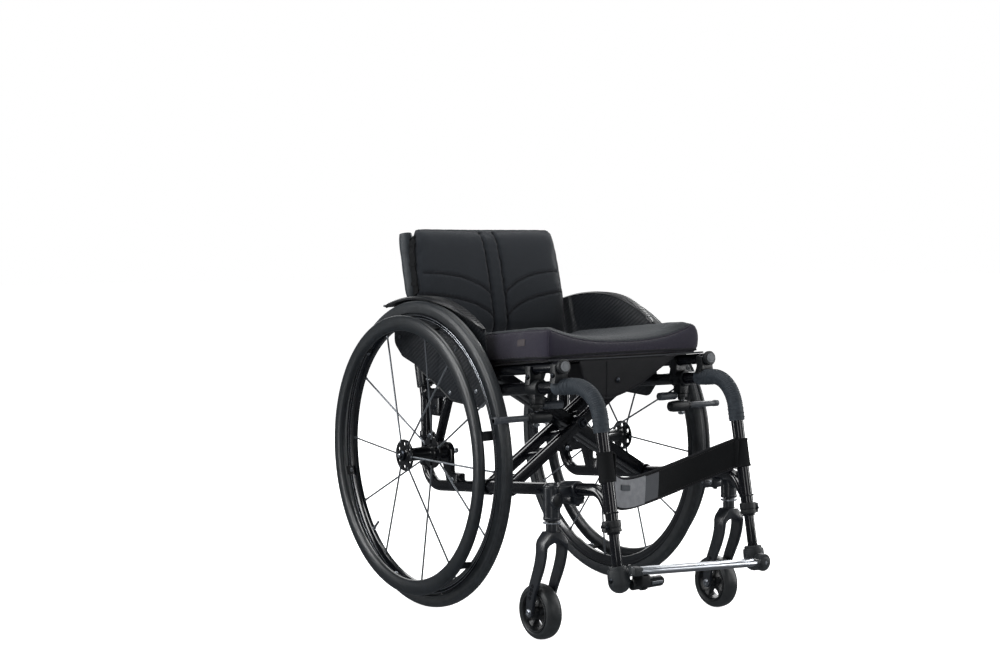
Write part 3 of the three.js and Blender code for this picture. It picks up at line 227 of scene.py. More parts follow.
def paintNodes(low, high, roughness, peel=0.000005):
    def build(tree, place):
        broad = noise(tree, place, 9.0)
        fine = noise(tree, place, 260.0, 2.0)
        dust = noise(tree, place, 60.0, 5.0, 0.7)
        return {
            "Base Color": shades(tree, spread(tree, dust, 0, 1, 0.45, 0.75), low, high),
            "Roughness": spread(tree, broad, roughness * 0.8, roughness * 1.3),
            "bumps": [(fine, peel)],
        }
    return build


def grainNodes(low, high, roughness, scale, depth):
    def build(tree, place):
        broad = noise(tree, place, 14.0)
        grain = tree.node("ShaderNodeTexVoronoi", {"feature": "SMOOTH_F1"},
                          {"Vector": place, "Scale": scale, "Smoothness": 0.6})
        worn = noise(tree, place, 90.0, 4.0, 0.65)
        return {
            "Base Color": shades(tree, spread(tree, worn, 0, 1, 0.35, 0.7), low, high),
            "Roughness": spread(tree, broad, roughness * 0.88, min(1.0, roughness * 1.12)),
            "bumps": [(grain, depth), (worn, depth * 0.6)],
        }
    return build


def metalNodes(low, high, roughness, along=(1, 1, 1), scale=900.0):
    def build(tree, place):
        drawn = tree.node("ShaderNodeMapping", sockets={"Vector": place, "Scale": along})
        scratch = noise(tree, drawn, scale, 4.0, 0.6)
        broad = noise(tree, place, 25.0)
        return {
            "Base Color": shades(tree, broad, low, high),
            "Roughness": spread(tree, scratch, roughness * 0.85, roughness * 1.25),
            "bumps": [(scratch, 0.000002)],
        }
    return build


# A woven or knitted cloth: threads of the given pitch in metres along two ways across the piece.
def clothNodes(low, high, roughness, pitch, depth, first="X", second="Z", twill=0.0, slub=0.5):
    def build(tree, place):
        turn = 2 * math.pi / pitch
        u, v = axisOf(tree, place, first), axisOf(tree, place, second)
        if first != second:
            w = axisOf(tree, place, "Y")
            u, v = u + w * 0.37, v + w * 0.61
        threads = (u * turn).sine() * (v * turn + u * turn * twill).sine()
        fuzz = noise(tree, place, 1.1 / pitch, 3.0, 0.7)
        broad = noise(tree, place, 11.0, 4.0, 0.6)
        crease = noise(tree, place, 26.0, 3.0, 0.55)
        tone = (threads * 0.25 + 0.5) * (1 - slub) + broad * slub
        return {
            "Base Color": shades(tree, tone.clamped(), low, high),
            "Roughness": spread(tree, fuzz, roughness * 0.92, min(1.0, roughness * 1.08)),
            "bumps": [(crease, depth * 5), (threads + fuzz * 0.8, depth)],
        }
    return build


addWorld()
floorTones = [(studio["floor"] * share,) * 3 for share in (1, 1.03)]
floorLook = finish("studioFloor", grainNodes(*floorTones, 0.9, 30.0, 0.0), specular=0.1, glowColor=(1, 1, 1, 1),
                   glow=studio["glow"])
frameGloss = finishOf("frameGloss", paintNodes, (4, 5, 9), (10, 12, 16), 0.4, specular=0.06, coat=1.0,
                      coatRoughness=0.13)
satinBlack = finishOf("satinBlack", grainNodes, (8, 10, 13), (14, 17, 21), 0.34, 2600, 0.00004, specular=0.5)
hubGloss = finishOf("hubGloss", paintNodes, (5, 6, 9), (12, 13, 16), 0.3, specular=0.15, coat=1.0,
                    coatRoughness=0.08)
rimGloss = finishOf("rimGloss", paintNodes, (6, 8, 12), (14, 17, 22), 0.3, specular=0.2, coat=1.0,
                    coatRoughness=0.1)
forkSatin = finishOf("forkSatin", grainNodes, (12, 15, 19), (20, 24, 30), 0.32, 3200, 0.00003, specular=0.5,
                     coat=0.25, coatRoughness=0.2)
tyreRubber = finishOf("tyreRubber", grainNodes, (17, 21, 24), (28, 32, 36), 0.42, 2400, 0.00006, specular=0.6)
castorRubber = finishOf("castorRubber", grainNodes, (19, 22, 24), (28, 31, 33), 0.42, 2600, 0.00004,
                        specular=0.5)
pushrimCoat = finishOf("pushrimCoat", grainNodes, (8, 12, 15), (16, 21, 26), 0.38, 3000, 0.00004, specular=0.5,
                       coat=0.2, coatRoughness=0.25)
mouldedPlastic = finishOf("mouldedPlastic", grainNodes, (8, 10, 12), (16, 19, 22), 0.42, 1500, 0.00008,
                          specular=0.5)
bootPlastic = finishOf("bootPlastic", grainNodes, (21, 25, 28), (31, 35, 38), 0.48, 1500, 0.00008,
                       specular=0.45)
sleeveRubber = finishOf("sleeveRubber", grainNodes, (31, 38, 45), (42, 49, 56), 0.62, 1900, 0.00007,
                        specular=0.35)
capPlastic = finishOf("capPlastic", grainNodes, (84, 87, 90), (98, 101, 104), 0.5, 1800, 0.00005, specular=0.4)
steelPlated = finishOf("steelPlated", metalNodes, (150, 154, 160), (186, 190, 196), 0.28, metallic=1.0)
darkSteel = finishOf("darkSteel", metalNodes, (44, 47, 52), (70, 74, 80), 0.3, metallic=1.0)
polishedAlloy = finishOf("polishedAlloy", metalNodes, (176, 180, 186), (206, 210, 216), 0.3, (0.02, 1, 1),
                         160.0, metallic=1.0)
spokeBlack = finishOf("spokeBlack", metalNodes, (66, 70, 75), (106, 110, 115), 0.34, metallic=0.6)
rodCoat = finishOf("rodCoat", grainNodes, (38, 42, 47), (50, 54, 60), 0.4, 1600, 0.00005, specular=0.5)
guardWeave = finishOf("guardWeave", clothNodes, (4, 5, 7), (26, 30, 36), 0.36, 0.0085, 0.0003, first="Y",
                      twill=1.0, slub=0.15, specular=0.5)
backCloth = finishOf("backCloth", clothNodes, (25, 28, 33), (39, 43, 48), 0.9, 0.0016, 0.00012, specular=0.2,
                     sheen=0.1, sheenRoughness=0.5)
backEdge = finishOf("backEdge", clothNodes, (42, 44, 48), (56, 58, 62), 0.85, 0.0022, 0.00012, twill=1.0,
                    specular=0.25)
rollCloth = finishOf("rollCloth", grainNodes, (28, 33, 38), (40, 46, 51), 0.5, 1200, 0.00006, specular=0.35)
cushionSideCloth = finishOf("cushionSideCloth", clothNodes, (24, 22, 33), (35, 32, 44), 0.92, 0.0012, 0.00008,
                            slub=0.7, specular=0.15, sheen=0.15, sheenRoughness=0.5)
cushionTopCloth = finishOf("cushionTopCloth", clothNodes, (31, 35, 39), (44, 48, 52), 0.9, 0.0018, 0.00012,
                           second="Y", slub=0.6, specular=0.15, sheen=0.12, sheenRoughness=0.5)
pipingCloth = finishOf("pipingCloth", clothNodes, (16, 17, 20), (28, 29, 33), 0.8, 0.0014, 0.0001,
                       specular=0.25)
labelCloth = finishOf("labelCloth", clothNodes, (58, 54, 56), (70, 66, 68), 0.85, 0.0010, 0.00006, specular=0.2)
slingCloth = finishOf("slingCloth", clothNodes, (8, 9, 11), (17, 18, 21), 0.75, 0.0009, 0.00006, second="Y",
                      specular=0.3)
pouchCloth = finishOf("pouchCloth", clothNodes, (10, 11, 14), (20, 21, 25), 0.75, 0.0010, 0.00008, specular=0.3)
webbing = finishOf("webbing", clothNodes, (7, 8, 10), (15, 17, 19), 0.85, 0.0026, 0.00016, twill=0.5,
                   specular=0.2)
strapGrey = finishOf("strapGrey", clothNodes, (50, 52, 55), (74, 76, 80), 0.85, 0.0030, 0.00016, twill=0.5,
                     specular=0.2)
plateGrey = finishOf("plateGrey", grainNodes, (88, 90, 94), (104, 106, 110), 0.5, 1500, 0.00005, specular=0.35)


def addFloor():
    mesh = bpy.data.meshes.new("floor")
    reach = studio["floorReach"]
    mesh.from_pydata([(-reach, -reach, 0), (reach, -reach, 0), (reach, reach, 0), (-reach, reach, 0)], [],
                     [(0, 1, 2, 3)])
    mesh.materials.append(floorLook)
    floor = added("floor", mesh)
    floor.location.z = -studio["floorDrop"]
    floor.visible_glossy = False


addFloor()


def vec(*values):
    return np.array(values, float)


def unit(v):
    return np.asarray(v, float) / np.linalg.norm(v)


def roundTurn(count):
    return np.linspace(0, 2 * math.pi, count, endpoint=False)


def oval(wide, tall, count, x=0, y=0):
    return [(x + wide * math.cos(a), y + tall * math.sin(a)) for a in roundTurn(count)]


def rectangle(x0, y0, x1, y1):
    return [(x0, y0), (x1, y0), (x1, y1), (x0, y1)]


def bothSides(profile):  # and the same again mirrored, from its end back to its start
    return [*profile, *((-along, radius) for along, radius in profile[::-1])]


def oblong(wide, tall):
    return rectangle(-wide, -tall, wide, tall)


def band(start, end, inner, outer):  # the profile of a ring, or of a disc where inner is 0
    return [(start, inner), (start, outer), (end, outer), (end, inner)]


# Points and faces in mm, with y from the rear axle, each face with its material.
class Shape:
    def __init__(self, look):
        self.points, self.faces, self.looks, self.look = [], [], [], look

    def use(self, look):
        self.look = look
        return self

    def add(self, points, faces, look=None):
        start = len(self.points)
        self.points += [tuple(map(float, p)) for p in points]
        self.faces += [tuple(start + i for i in face) for face in faces]
        self.looks += [look or self.look] * len(faces)
        return self

    def addRings(self, rings, closedAround=True, closedAlong=False, caps=True):
        rings = [np.asarray(ring, float) for ring in rings]
        count, sides = len(rings), len(rings[0])
        points = np.concatenate(rings)
        faces = []
        for i in range(count if closedAlong else count - 1):
            a, b = i * sides, (i + 1) % count * sides
            for k in range(sides if closedAround else sides - 1):
                n = (k + 1) % sides
                faces.append((a + k, a + n, b + n, b + k))
        if caps and not closedAlong:
            points = np.concatenate([points, [rings[0].mean(0)], [rings[-1].mean(0)]])
            for k in range(sides):
                n = (k + 1) % sides
                faces.append((count * sides, n, k))
                faces.append((count * sides + 1, (count - 1) * sides + k, (count - 1) * sides + n))
        return self.add(points, faces)

    def addMesh(self, mesh, scale=1.0):
        looks = list(mesh.materials) or [self.look]
        start = len(self.points)
        self.points += [tuple(v.co * scale) for v in mesh.vertices]
        for face in mesh.polygons:
            self.faces.append(tuple(start + i for i in face.vertices))
            self.looks.append(looks[min(face.material_index, len(looks) - 1)] or self.look)
        return self

    def moved(self, matrix):
        grid = np.array(self.points) @ np.array(matrix)[:3, :3].T + np.array(matrix)[:3, 3]
        self.points = [tuple(p) for p in grid]
        return self

    def join(self, other):
        start = len(self.points)
        self.points += other.points
        self.faces += [tuple(start + i for i in face) for face in other.faces]
        self.looks += other.looks
        return self

    def mesh(self, name, mirrored=False, angle=32):
        looks = list(dict.fromkeys(self.looks))
        mesh = bpy.data.meshes.new(name)
        side = -0.001 if mirrored else 0.001
        points = [(x * side, (y + axleY) * 0.001, z * 0.001) for x, y, z in self.points]
        mesh.from_pydata(points, [], [face[::-1] for face in self.faces] if mirrored else self.faces)
        mesh.polygons.foreach_set("material_index", [looks.index(look) for look in self.looks])
        for look in looks:
            mesh.materials.append(look)
        work = bmesh.new()
        work.from_mesh(mesh)
        bmesh.ops.remove_doubles(work, verts=work.verts, dist=1e-6)
        bmesh.ops.recalc_face_normals(work, faces=work.faces)
        work.to_mesh(mesh)
        work.free()
        mesh.shade_smooth()
        mesh.set_sharp_from_angle(angle=math.radians(angle))
        return mesh


# A finished piece: it stands for its CAD node and rides on a body.
def place(name, shape, body, node, slot, mirrored=False, angle=32):
    piece = added(name, shape.mesh(name, mirrored, angle))
    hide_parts(node)
    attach(piece, body)
    return piece


# Rows of name, build, body, node and slot: {} is the side, and what differs between the sides is a pair.
# Every shape is built for the left, and the right one is its mirror image.
def placePairs(*rows):
    for word in ("right", "left"):
        for row in rows:
            name, build, body, node, slot = [item[word] if isinstance(item, dict) else item for item in row]
            place(name.format(word), build(), body.format(word), node.format(word), slot, word == "right")


# A line through corners, with a round bend at each inner corner.
def bentPath(corners, bends, step=5.0):
    corners = [np.asarray(c, float) for c in corners]
    points = [corners[0]]
    for before, corner, after, bend in zip(corners, corners[1:], corners[2:], bends):
        inward, onward = unit(corner - before), unit(after - corner)
        turn = math.acos(max(-1.0, min(1.0, float(inward @ onward))))
        if turn < 1e-3 or bend <= 0:
            points.append(corner)
            continue
        centre = corner + unit(onward - inward) * bend / math.cos(turn / 2)
        start = corner - inward * bend * math.tan(turn / 2) - centre
        count = max(3, math.ceil(bend * turn / step))
        points += [centre + start * math.cos(turn * k / count) + inward * bend * math.sin(turn * k / count)
                   for k in range(count + 1)]
    points.append(corners[-1])
    return np.array(points)


# The same line with points no further apart than step.
def finer(path, step):
    points = [path[0]]
    for a, b in zip(path, path[1:]):
        count = max(1, math.ceil(np.linalg.norm(b - a) / step))
        points += [a + (b - a) * k / count for k in range(1, count + 1)]
    return np.array(points)


def partOf(path, start, end):
    along = np.concatenate([[0], np.cumsum(np.linalg.norm(np.diff(path, axis=0), axis=1))])
    total = along[-1]
    start, end = start if start >= 0 else total + start, end if end > 0 else total + end
    stops = [start, *[a for a in along if start + 0.01 < a < end - 0.01], end]
    return np.stack([np.interp(stops, along, path[:, k]) for k in range(3)], axis=1)


# Two directions square to a line at each of its points, carried along without twist.
def carried(path, up):
    steps = [unit(b - a) for a, b in zip(path, path[1:])]
    ways = [steps[0]] + [unit(a + b) for a, b in zip(steps, steps[1:])] + [steps[-1]]
    first, result = np.asarray(up, float), []
    for way in ways:
        first = first - way * (first @ way)
        first = unit(first)
        result.append((first, np.cross(way, first), way))
    return result


# A bar along a line: its radius may change from point to point, and its ends are rounded by edge.
def addBar(shape, path, radius, sides=28, up=(0, 0, 1), edge=1.0, section=None, closed=False):
    path = np.asarray(path, float)
    if abs(unit(path[1] - path[0]) @ unit(up)) > 0.95:
        up = (0, 1, 0) if abs(unit(path[1] - path[0])[1]) < 0.9 else (1, 0, 0)
    radii = np.full(len(path), float(radius)) if np.isscalar(radius) else np.asarray(radius, float)
    outline = np.array(oval(1, 1, sides) if section is None else section)
    frames = carried(path, up)
    rings = [p + r * (outline[:, :1] * a + outline[:, 1:] * b)
             for p, r, (a, b, _) in zip(path, radii, frames)]
    if closed:
        return shape.addRings(rings, closedAlong=True)
    if edge:
        starts, ends = [], []
        for k in range(3):
            angle = k / 3 * math.pi / 2
            for into, p, r, (a, b, way), sign in (
                    (starts, path[0], radii[0], frames[0], 1), (ends, path[-1], radii[-1], frames[-1], -1)):
                small = r - edge * (1 - math.sin(angle)) if section is None else r * (
                    1 - edge * (1 - math.sin(angle)) / np.abs(outline).max() / r)
                into.append(p + sign * way * edge * (1 - math.cos(angle))
                            + small * (outline[:, :1] * a + outline[:, 1:] * b))
        first = path[0] + frames[0][2] * edge
        last = path[-1] - frames[-1][2] * edge
        rings[0] = rings[0] - path[0] + first
        rings[-1] = rings[-1] - path[-1] + last
        rings = starts + rings + ends[::-1]
    return shape.addRings(rings)


# Rounds the corners of a flat outline or a profile.
def eased(points, radius, closed=True, steps=3):
    points = [np.asarray(p, float) for p in points]
    result, count = [], len(points)
    for i, corner in enumerate(points):
        if not closed and i in (0, count - 1):
            result.append(corner)
            continue
        before, after = points[i - 1], points[(i + 1) % count]
        into, out = corner - before, after - corner
        turn = math.acos(max(-1, min(1, float(unit(into) @ unit(out)))))
        r = radius[i] if isinstance(radius, (list, tuple)) else radius
        cut = min(r * math.tan(turn / 2), 0.45 * np.linalg.norm(into), 0.45 * np.linalg.norm(out))
        if turn < 0.12 or cut < 0.02:
            result.append(corner)
            continue
        a, b = corner - unit(into) * cut, corner + unit(out) * cut
        for k in range(steps + 1):
            t = k / steps
            result.append(a * (1 - t) ** 2 + corner * 2 * t * (1 - t) + b * t * t)
    return np.array(result)


# A turned shape from (along, radius) pairs. Points on the axis close its ends; a ring closes on itself.
def addTurned(shape, profile, centre=(0, 0, 0), axis="x", segments=64, ring=False):
    axes = {"x": ((1, 0, 0), (0, 1, 0), (0, 0, 1)), "y": ((0, 1, 0), (0, 0, 1), (1, 0, 0)),
            "z": ((0, 0, 1), (1, 0, 0), (0, 1, 0))}
    if isinstance(axis, str):
        along, first, second = [np.array(a, float) for a in axes[axis]]
    else:
        along = unit(axis)
        first = unit(np.cross(along, (1, 0, 0) if abs(along[0]) < 0.9 else (0, 1, 0)))
        second = np.cross(along, first)
    centre = np.asarray(centre, float)
    rings = [np.array([centre + along * a + r * (c * first + s * second) for c, s in oval(1, 1, segments)])
             for a, r in profile]
    return shape.addRings(rings, closedAlong=ring, caps=not ring)


# A flat outline made thick, with rounded edges: u and v span the outline, w is its thickness.
def addPlate(shape, outline, low, high, origin=(0, 0, 0), axes="yzx", edge=1.0):
    named = {"x": (1, 0, 0), "y": (0, 1, 0), "z": (0, 0, 1)}
    u, v, w = [np.array(named[a] if isinstance(a, str) else a, float) for a in axes]
    origin, outline = np.asarray(origin, float), np.array(outline, float)
    nextOne, before = np.roll(outline, -1, axis=0), np.roll(outline, 1, axis=0)
    area = np.sum(outline[:, 0] * nextOne[:, 1] - nextOne[:, 0] * outline[:, 1])
    into = outline - before
    out = nextOne - outline
    into /= np.linalg.norm(into, axis=1, keepdims=True) + 1e-9
    out /= np.linalg.norm(out, axis=1, keepdims=True) + 1e-9
    sign = 1 if area > 0 else -1
    normal = sign * np.stack([-(into + out)[:, 1], (into + out)[:, 0]], axis=1)
    normal /= np.maximum(np.linalg.norm(normal, axis=1, keepdims=True), 1e-6)
    reach = 1 / np.maximum(0.5, np.abs(np.sum(normal * np.stack([-into[:, 1], into[:, 0]], axis=1), axis=1)))
    rings = []
    edge = min(edge, abs(high - low) * 0.49)
    for k in range(3):
        angle = k / 2 * math.pi / 2
        inset = edge * (1 - math.sin(angle))
        rings.append((outline + normal * reach[:, None] * inset, low + edge * (1 - math.cos(angle))))
    rings += [(ring, high + low - height) for ring, height in rings[::-1]]
    places = [origin + ring[:, :1] * u + ring[:, 1:] * v + height * w for ring, height in rings]
    shape.addRings(places, caps=False)
    n = len(outline)
    start = len(shape.points) - n * len(places)
    shape.faces += [tuple(range(start, start + n))[::-1],
                    tuple(range(start + n * (len(places) - 1), len(shape.points)))]
    shape.looks += [shape.look] * 2
    return shape


def addBlock(shape, low, high, edge=1.0):
    (x0, y0, z0), (x1, y1, z1) = low, high
    return addPlate(shape, eased(rectangle(y0, z0, y1, z1), edge, steps=2), x0, x1, edge=edge)


# A link with two round ends, as its outline.
def linkOutline(a, b, aRadius, bRadius, steps=10):
    a, b = np.array(a, float), np.array(b, float)
    heading = math.atan2(b[1] - a[1], b[0] - a[0])
    lean = math.acos((aRadius - bRadius) / np.linalg.norm(b - a))
    around = lambda c, r, start, sweep: [c + r * vec(math.cos(start + sweep * k / steps), math.sin(
        start + sweep * k / steps)) for k in range(steps + 1)]
    return np.array(around(a, aRadius, heading + lean, 2 * math.pi - 2 * lean)
                    + around(b, bRadius, heading - lean, 2 * lean))


# A bolt: a hexagon or round head with a socket, at a place, looking along a direction.
def addBolt(shape, where, way, radius=4.0, height=3.0, sides=6, look=darkSteel):
    kept, shape.look = shape.look, look
    where, way = np.asarray(where, float), unit(way)
    washer = [(0, 0), (0, radius * 1.25), (0.8, radius * 1.25), (1.0, radius * 1.1)]
    addTurned(shape, washer + [(1.0, 0)], where, way, 20)
    head = [(0.8, 0), (0.8, radius), (height * 0.8, radius), (height, radius * 0.85), (height, radius * 0.5),
            (height * 0.55, radius * 0.42), (height * 0.55, 0)]
    addTurned(shape, head, where, way, sides)
    shape.look = kept
    return shape


def evaluated(thing):
    return bpy.data.meshes.new_from_object(thing.evaluated_get(bpy.context.evaluated_depsgraph_get()))


def shapeOf(mesh, look):  # a mesh in metres taken back as a shape
    shape = Shape(look).addMesh(mesh, 1000.0)
    shape.points = [(x, y - axleY, z) for x, y, z in shape.points]
    return shape


# One shape less another, by an exact boolean.
def cutAway(shape, cutter):
    pair = [added(name, source.mesh(name)) for name, source in (("whole", shape), ("cutter", cutter))]
    change = pair[0].modifiers.new("cut", "BOOLEAN")
    change.operation, change.object, change.solver = "DIFFERENCE", pair[1], "EXACT"
    result = shapeOf(evaluated(pair[0]), shape.look)
    for one in pair:
        bpy.data.objects.remove(one)
    return result


# Geometry Nodes trees for what repeats. Each takes its sizes as named inputs.
def newTree(name, inputs):
    tree = bpy.data.node_groups.new(name, "GeometryNodeTree")
    tree.interface.new_socket("Geometry", in_out="INPUT", socket_type="NodeSocketGeometry")
    for label, kind in inputs.items():
        tree.interface.new_socket(label, in_out="INPUT", socket_type=f"NodeSocket{kind}")
    tree.interface.new_socket("Geometry", in_out="OUTPUT", socket_type="NodeSocketGeometry")
    nodes = Nodes(tree)
    given = tree.nodes.new("NodeGroupInput")
    return nodes, {socket.name: Number(nodes, socket) for socket in given.outputs if socket.name}


def endTree(nodes, instances, look):
    real = nodes.node("GeometryNodeRealizeInstances", sockets={0: instances})
    done = nodes.node("GeometryNodeSetMaterial", sockets={"Geometry": real, "Material": look})
    nodes.end("NodeGroupOutput", "Geometry", done)
    return nodes.tree


def turnsTree():  # copies of the geometry turned round the X axis
    nodes, given = newTree("turnsRoundAxle", {"Count": "Int", "Start": "Float", "Look": "Material"})
    points = nodes.node("GeometryNodePoints", sockets={"Count": given["Count"]})
    index = nodes.node("GeometryNodeInputIndex")
    angle = index * (2 * math.pi) / given["Count"] + given["Start"]
    euler = nodes.node("ShaderNodeCombineXYZ", sockets={0: angle})
    turn = nodes.node("FunctionNodeEulerToRotation", sockets={0: euler})
    copies = nodes.node("GeometryNodeInstanceOnPoints", sockets={
        "Points": points, "Instance": given["Geometry"], "Rotation": turn})
    return endTree(nodes, copies, given["Look"])


def lineTree(name, size, axis, template):  # copies evenly spaced along a line and turned with it
    nodes, given = newTree(name, {
        "Spacing": "Float", size: "Float", "Thickness": "Float", "Look": "Material"})
    line = nodes.node("GeometryNodeMeshToCurve", sockets={0: given["Geometry"]})
    spaced = nodes.node("GeometryNodeResampleCurve", {"mode": "LENGTH"},
                        {"Curve": line, "Length": given["Spacing"]})
    tangent = nodes.node("GeometryNodeInputTangent")
    turn = nodes.node("FunctionNodeAlignRotationToVector", {"axis": axis}, {"Vector": tangent})
    copied, scale = template(nodes, given)
    copies = nodes.node("GeometryNodeInstanceOnPoints", sockets={
        "Points": spaced, "Instance": copied, "Rotation": turn, "Scale": scale})
    return endTree(nodes, copies, given["Look"])


def ribNodes(nodes, given):  # a ring round the line
    hoop, wire = [
        nodes.node("GeometryNodeCurvePrimitiveCircle", sockets={"Resolution": count, "Radius": given[size]})
        for count, size in ((36, "Radius"), (6, "Thickness"))]
    return nodes.node("GeometryNodeCurveToMesh", sockets={"Curve": hoop, "Profile Curve": wire}), (1, 1, 1)


def stitchNodes(nodes, given):  # a short thread along the line
    thread = nodes.node("GeometryNodeMeshIcoSphere", sockets={"Radius": 1.0, "Subdivisions": 1})
    return thread, nodes.node("ShaderNodeCombineXYZ", sockets={
        0: given["Length"], 1: given["Thickness"], 2: given["Thickness"]})


trees = {
    "turns": turnsTree(), "ribs": lineTree("ribsAlongLine", "Radius", "Z", ribNodes),
    "stitches": lineTree("stitchesAlongLine", "Length", "X", stitchNodes),
}


def grown(kind, mesh, **values):
    tree = trees[kind]
    host = added("host", mesh)
    change = host.modifiers.new("grow", "NODES")
    change.node_group = tree
    for item in tree.interface.items_tree:
        if item.item_type == "SOCKET" and item.in_out == "INPUT" and item.name in values:
            change[item.identifier] = values[item.name]
    host.update_tag()
    made = evaluated(host)
    bpy.data.objects.remove(host)
    return made


def rawMesh(shape):
    mesh = bpy.data.meshes.new("raw")
    mesh.from_pydata(shape.points, [], shape.faces)
    return mesh


def lineMesh(path):
    mesh = bpy.data.meshes.new("line")
    mesh.from_pydata([tuple(p) for p in path], [(i, i + 1) for i in range(len(path) - 1)], [])
    return mesh


def addTurns(shape, template, count, start=0.0):  # start in degrees round the axle
    return shape.addMesh(grown("turns", rawMesh(template), Count=count, Start=math.radians(start),
                               Look=template.look))


def addRibs(shape, path, spacing, radius, thickness, look):
    return shape.addMesh(grown("ribs", lineMesh(path), Spacing=spacing, Radius=radius, Thickness=thickness,
                               Look=look))


def addStitches(shape, path, spacing, length, thickness, look):
    return shape.addMesh(grown(
        "stitches", lineMesh(path), Spacing=spacing, Length=length / 2, Thickness=thickness / 2, Look=look))


print("frame tubes")
chair = {
    "halfWidth": 175, "tubeRadius": 11.5, "slope": 5.5, "upperHeight": 415.8, "lowerHeight": 231.7,
    "rearTubeY": 75.5, "rearBend": 47, "leanHeight": 400, "rearTopHeight": 444, "backLean": 12.5,
    "leanBend": 40, "taperY": -330, "taperBend": 150, "frontY": -456.5, "frontBend": 62, "lowerFrontBend": 36,
    "lowerFrontY": -468, "lowerFrontEnd": 238, "legLean": 10.2, "legInset": 14, "legEnd": 203, "railRise": 219,
    "railRadius": 10, "axleHeight": 300, "wheelX": 235.6, "gap": 0.3,
}
half, tubeRadius, axleZ = chair["halfWidth"], chair["tubeRadius"], chair["axleHeight"]
tanSlope, tanLean, tanBack = [math.tan(math.radians(chair[k])) for k in ("slope", "legLean", "backLean")]
cosSlope = math.cos(math.radians(chair["slope"]))
legX = half - chair["legInset"]


def upperZ(y): return chair["upperHeight"] - y * tanSlope
def lowerZ(y): return chair["lowerHeight"] - y * tanSlope
def railZ(y): return lowerZ(y) + chair["railRise"] / cosSlope


cornerZ = upperZ(chair["frontY"])


def legPoint(z, side=1): return vec(side * legX, chair["frontY"] - (cornerZ - z) * tanLean, z)
def backY(z): return chair["rearTubeY"] + (z - chair["leanHeight"]) * tanBack
def backPoint(z, side=1): return vec(side * half, backY(z), z)


def tubeX(y, cornerY):
    return half - chair["legInset"] * max(0, (chair["taperY"] - y) / (chair["taperY"] - cornerY))


upperLine = bentPath([vec(half, chair["rearTubeY"], upperZ(chair["rearTubeY"])),
                      vec(half, chair["taperY"], upperZ(chair["taperY"])), legPoint(cornerZ),
                      legPoint(chair["legEnd"])], [chair["taperBend"], chair["frontBend"]])
lowerLine = bentPath([legPoint(chair["lowerFrontEnd"]),
                      vec(legX, chair["lowerFrontY"], lowerZ(chair["lowerFrontY"])),
                      vec(half, chair["taperY"], lowerZ(chair["taperY"])),
                      vec(half, chair["rearTubeY"], lowerZ(chair["rearTubeY"])), backPoint(chair["leanHeight"]),
                      backPoint(chair["rearTopHeight"])],
                     [chair["lowerFrontBend"], chair["taperBend"], chair["rearBend"], chair["leanBend"]])


# A weld: a lumpy bead round a bar where it meets another.
def addWeld(shape, centre, axis, radius, bead=2.0, tilt=(0, 0, 0)):
    first = unit(np.cross(axis, (1, 0, 0) if abs(unit(axis)[0]) < 0.9 else (0, 1, 0)))
    second = np.cross(unit(axis), first)
    path = [np.asarray(centre, float) + radius * (math.cos(a) * first + math.sin(a) * second)
            + np.asarray(tilt, float) * (math.cos(a) ** 2)
            for a in roundTurn(48)]
    radii = [bead * (1 + 0.18 * math.sin(k * math.pi * 0.75)) for k in range(48)]
    frames = [(unit(p - np.asarray(centre)), unit(axis)) for p in path]
    rings = [p + r * np.array([c * a + s * b for c, s in oval(1, 1, 6)])
             for p, r, (a, b) in zip(path, radii, frames)]
    return shape.addRings(rings, closedAlong=True)


sideSizes = {
    "strutTopY": -12, "strutFootY": 41, "strutFootHeight": 290, "strutRadius": 9.5, "plateThickness": 12,
    "plateRadius": 19, "plateTubeRadius": 14, "bossRadius": 14, "bossInnerX": 168, "bossOuterX": 206.7,
    "footPlateY": -14, "footPlateRadius": 8, "lugFrontY": -50, "lugRearY": -12, "lugHeight": 261,
    "lugWidth": 20, "gussetFrontY": 20, "gussetRearY": 50, "gussetLow": 368, "gussetWidth": 12,
    "bands": (274, 326), "bandRadius": 14.2, "plateBolts": ((43, 290), (-13, 246), (22, 300)),
    "lugBolt": (-31, 247), "gussetBolt": (35, 386),
}


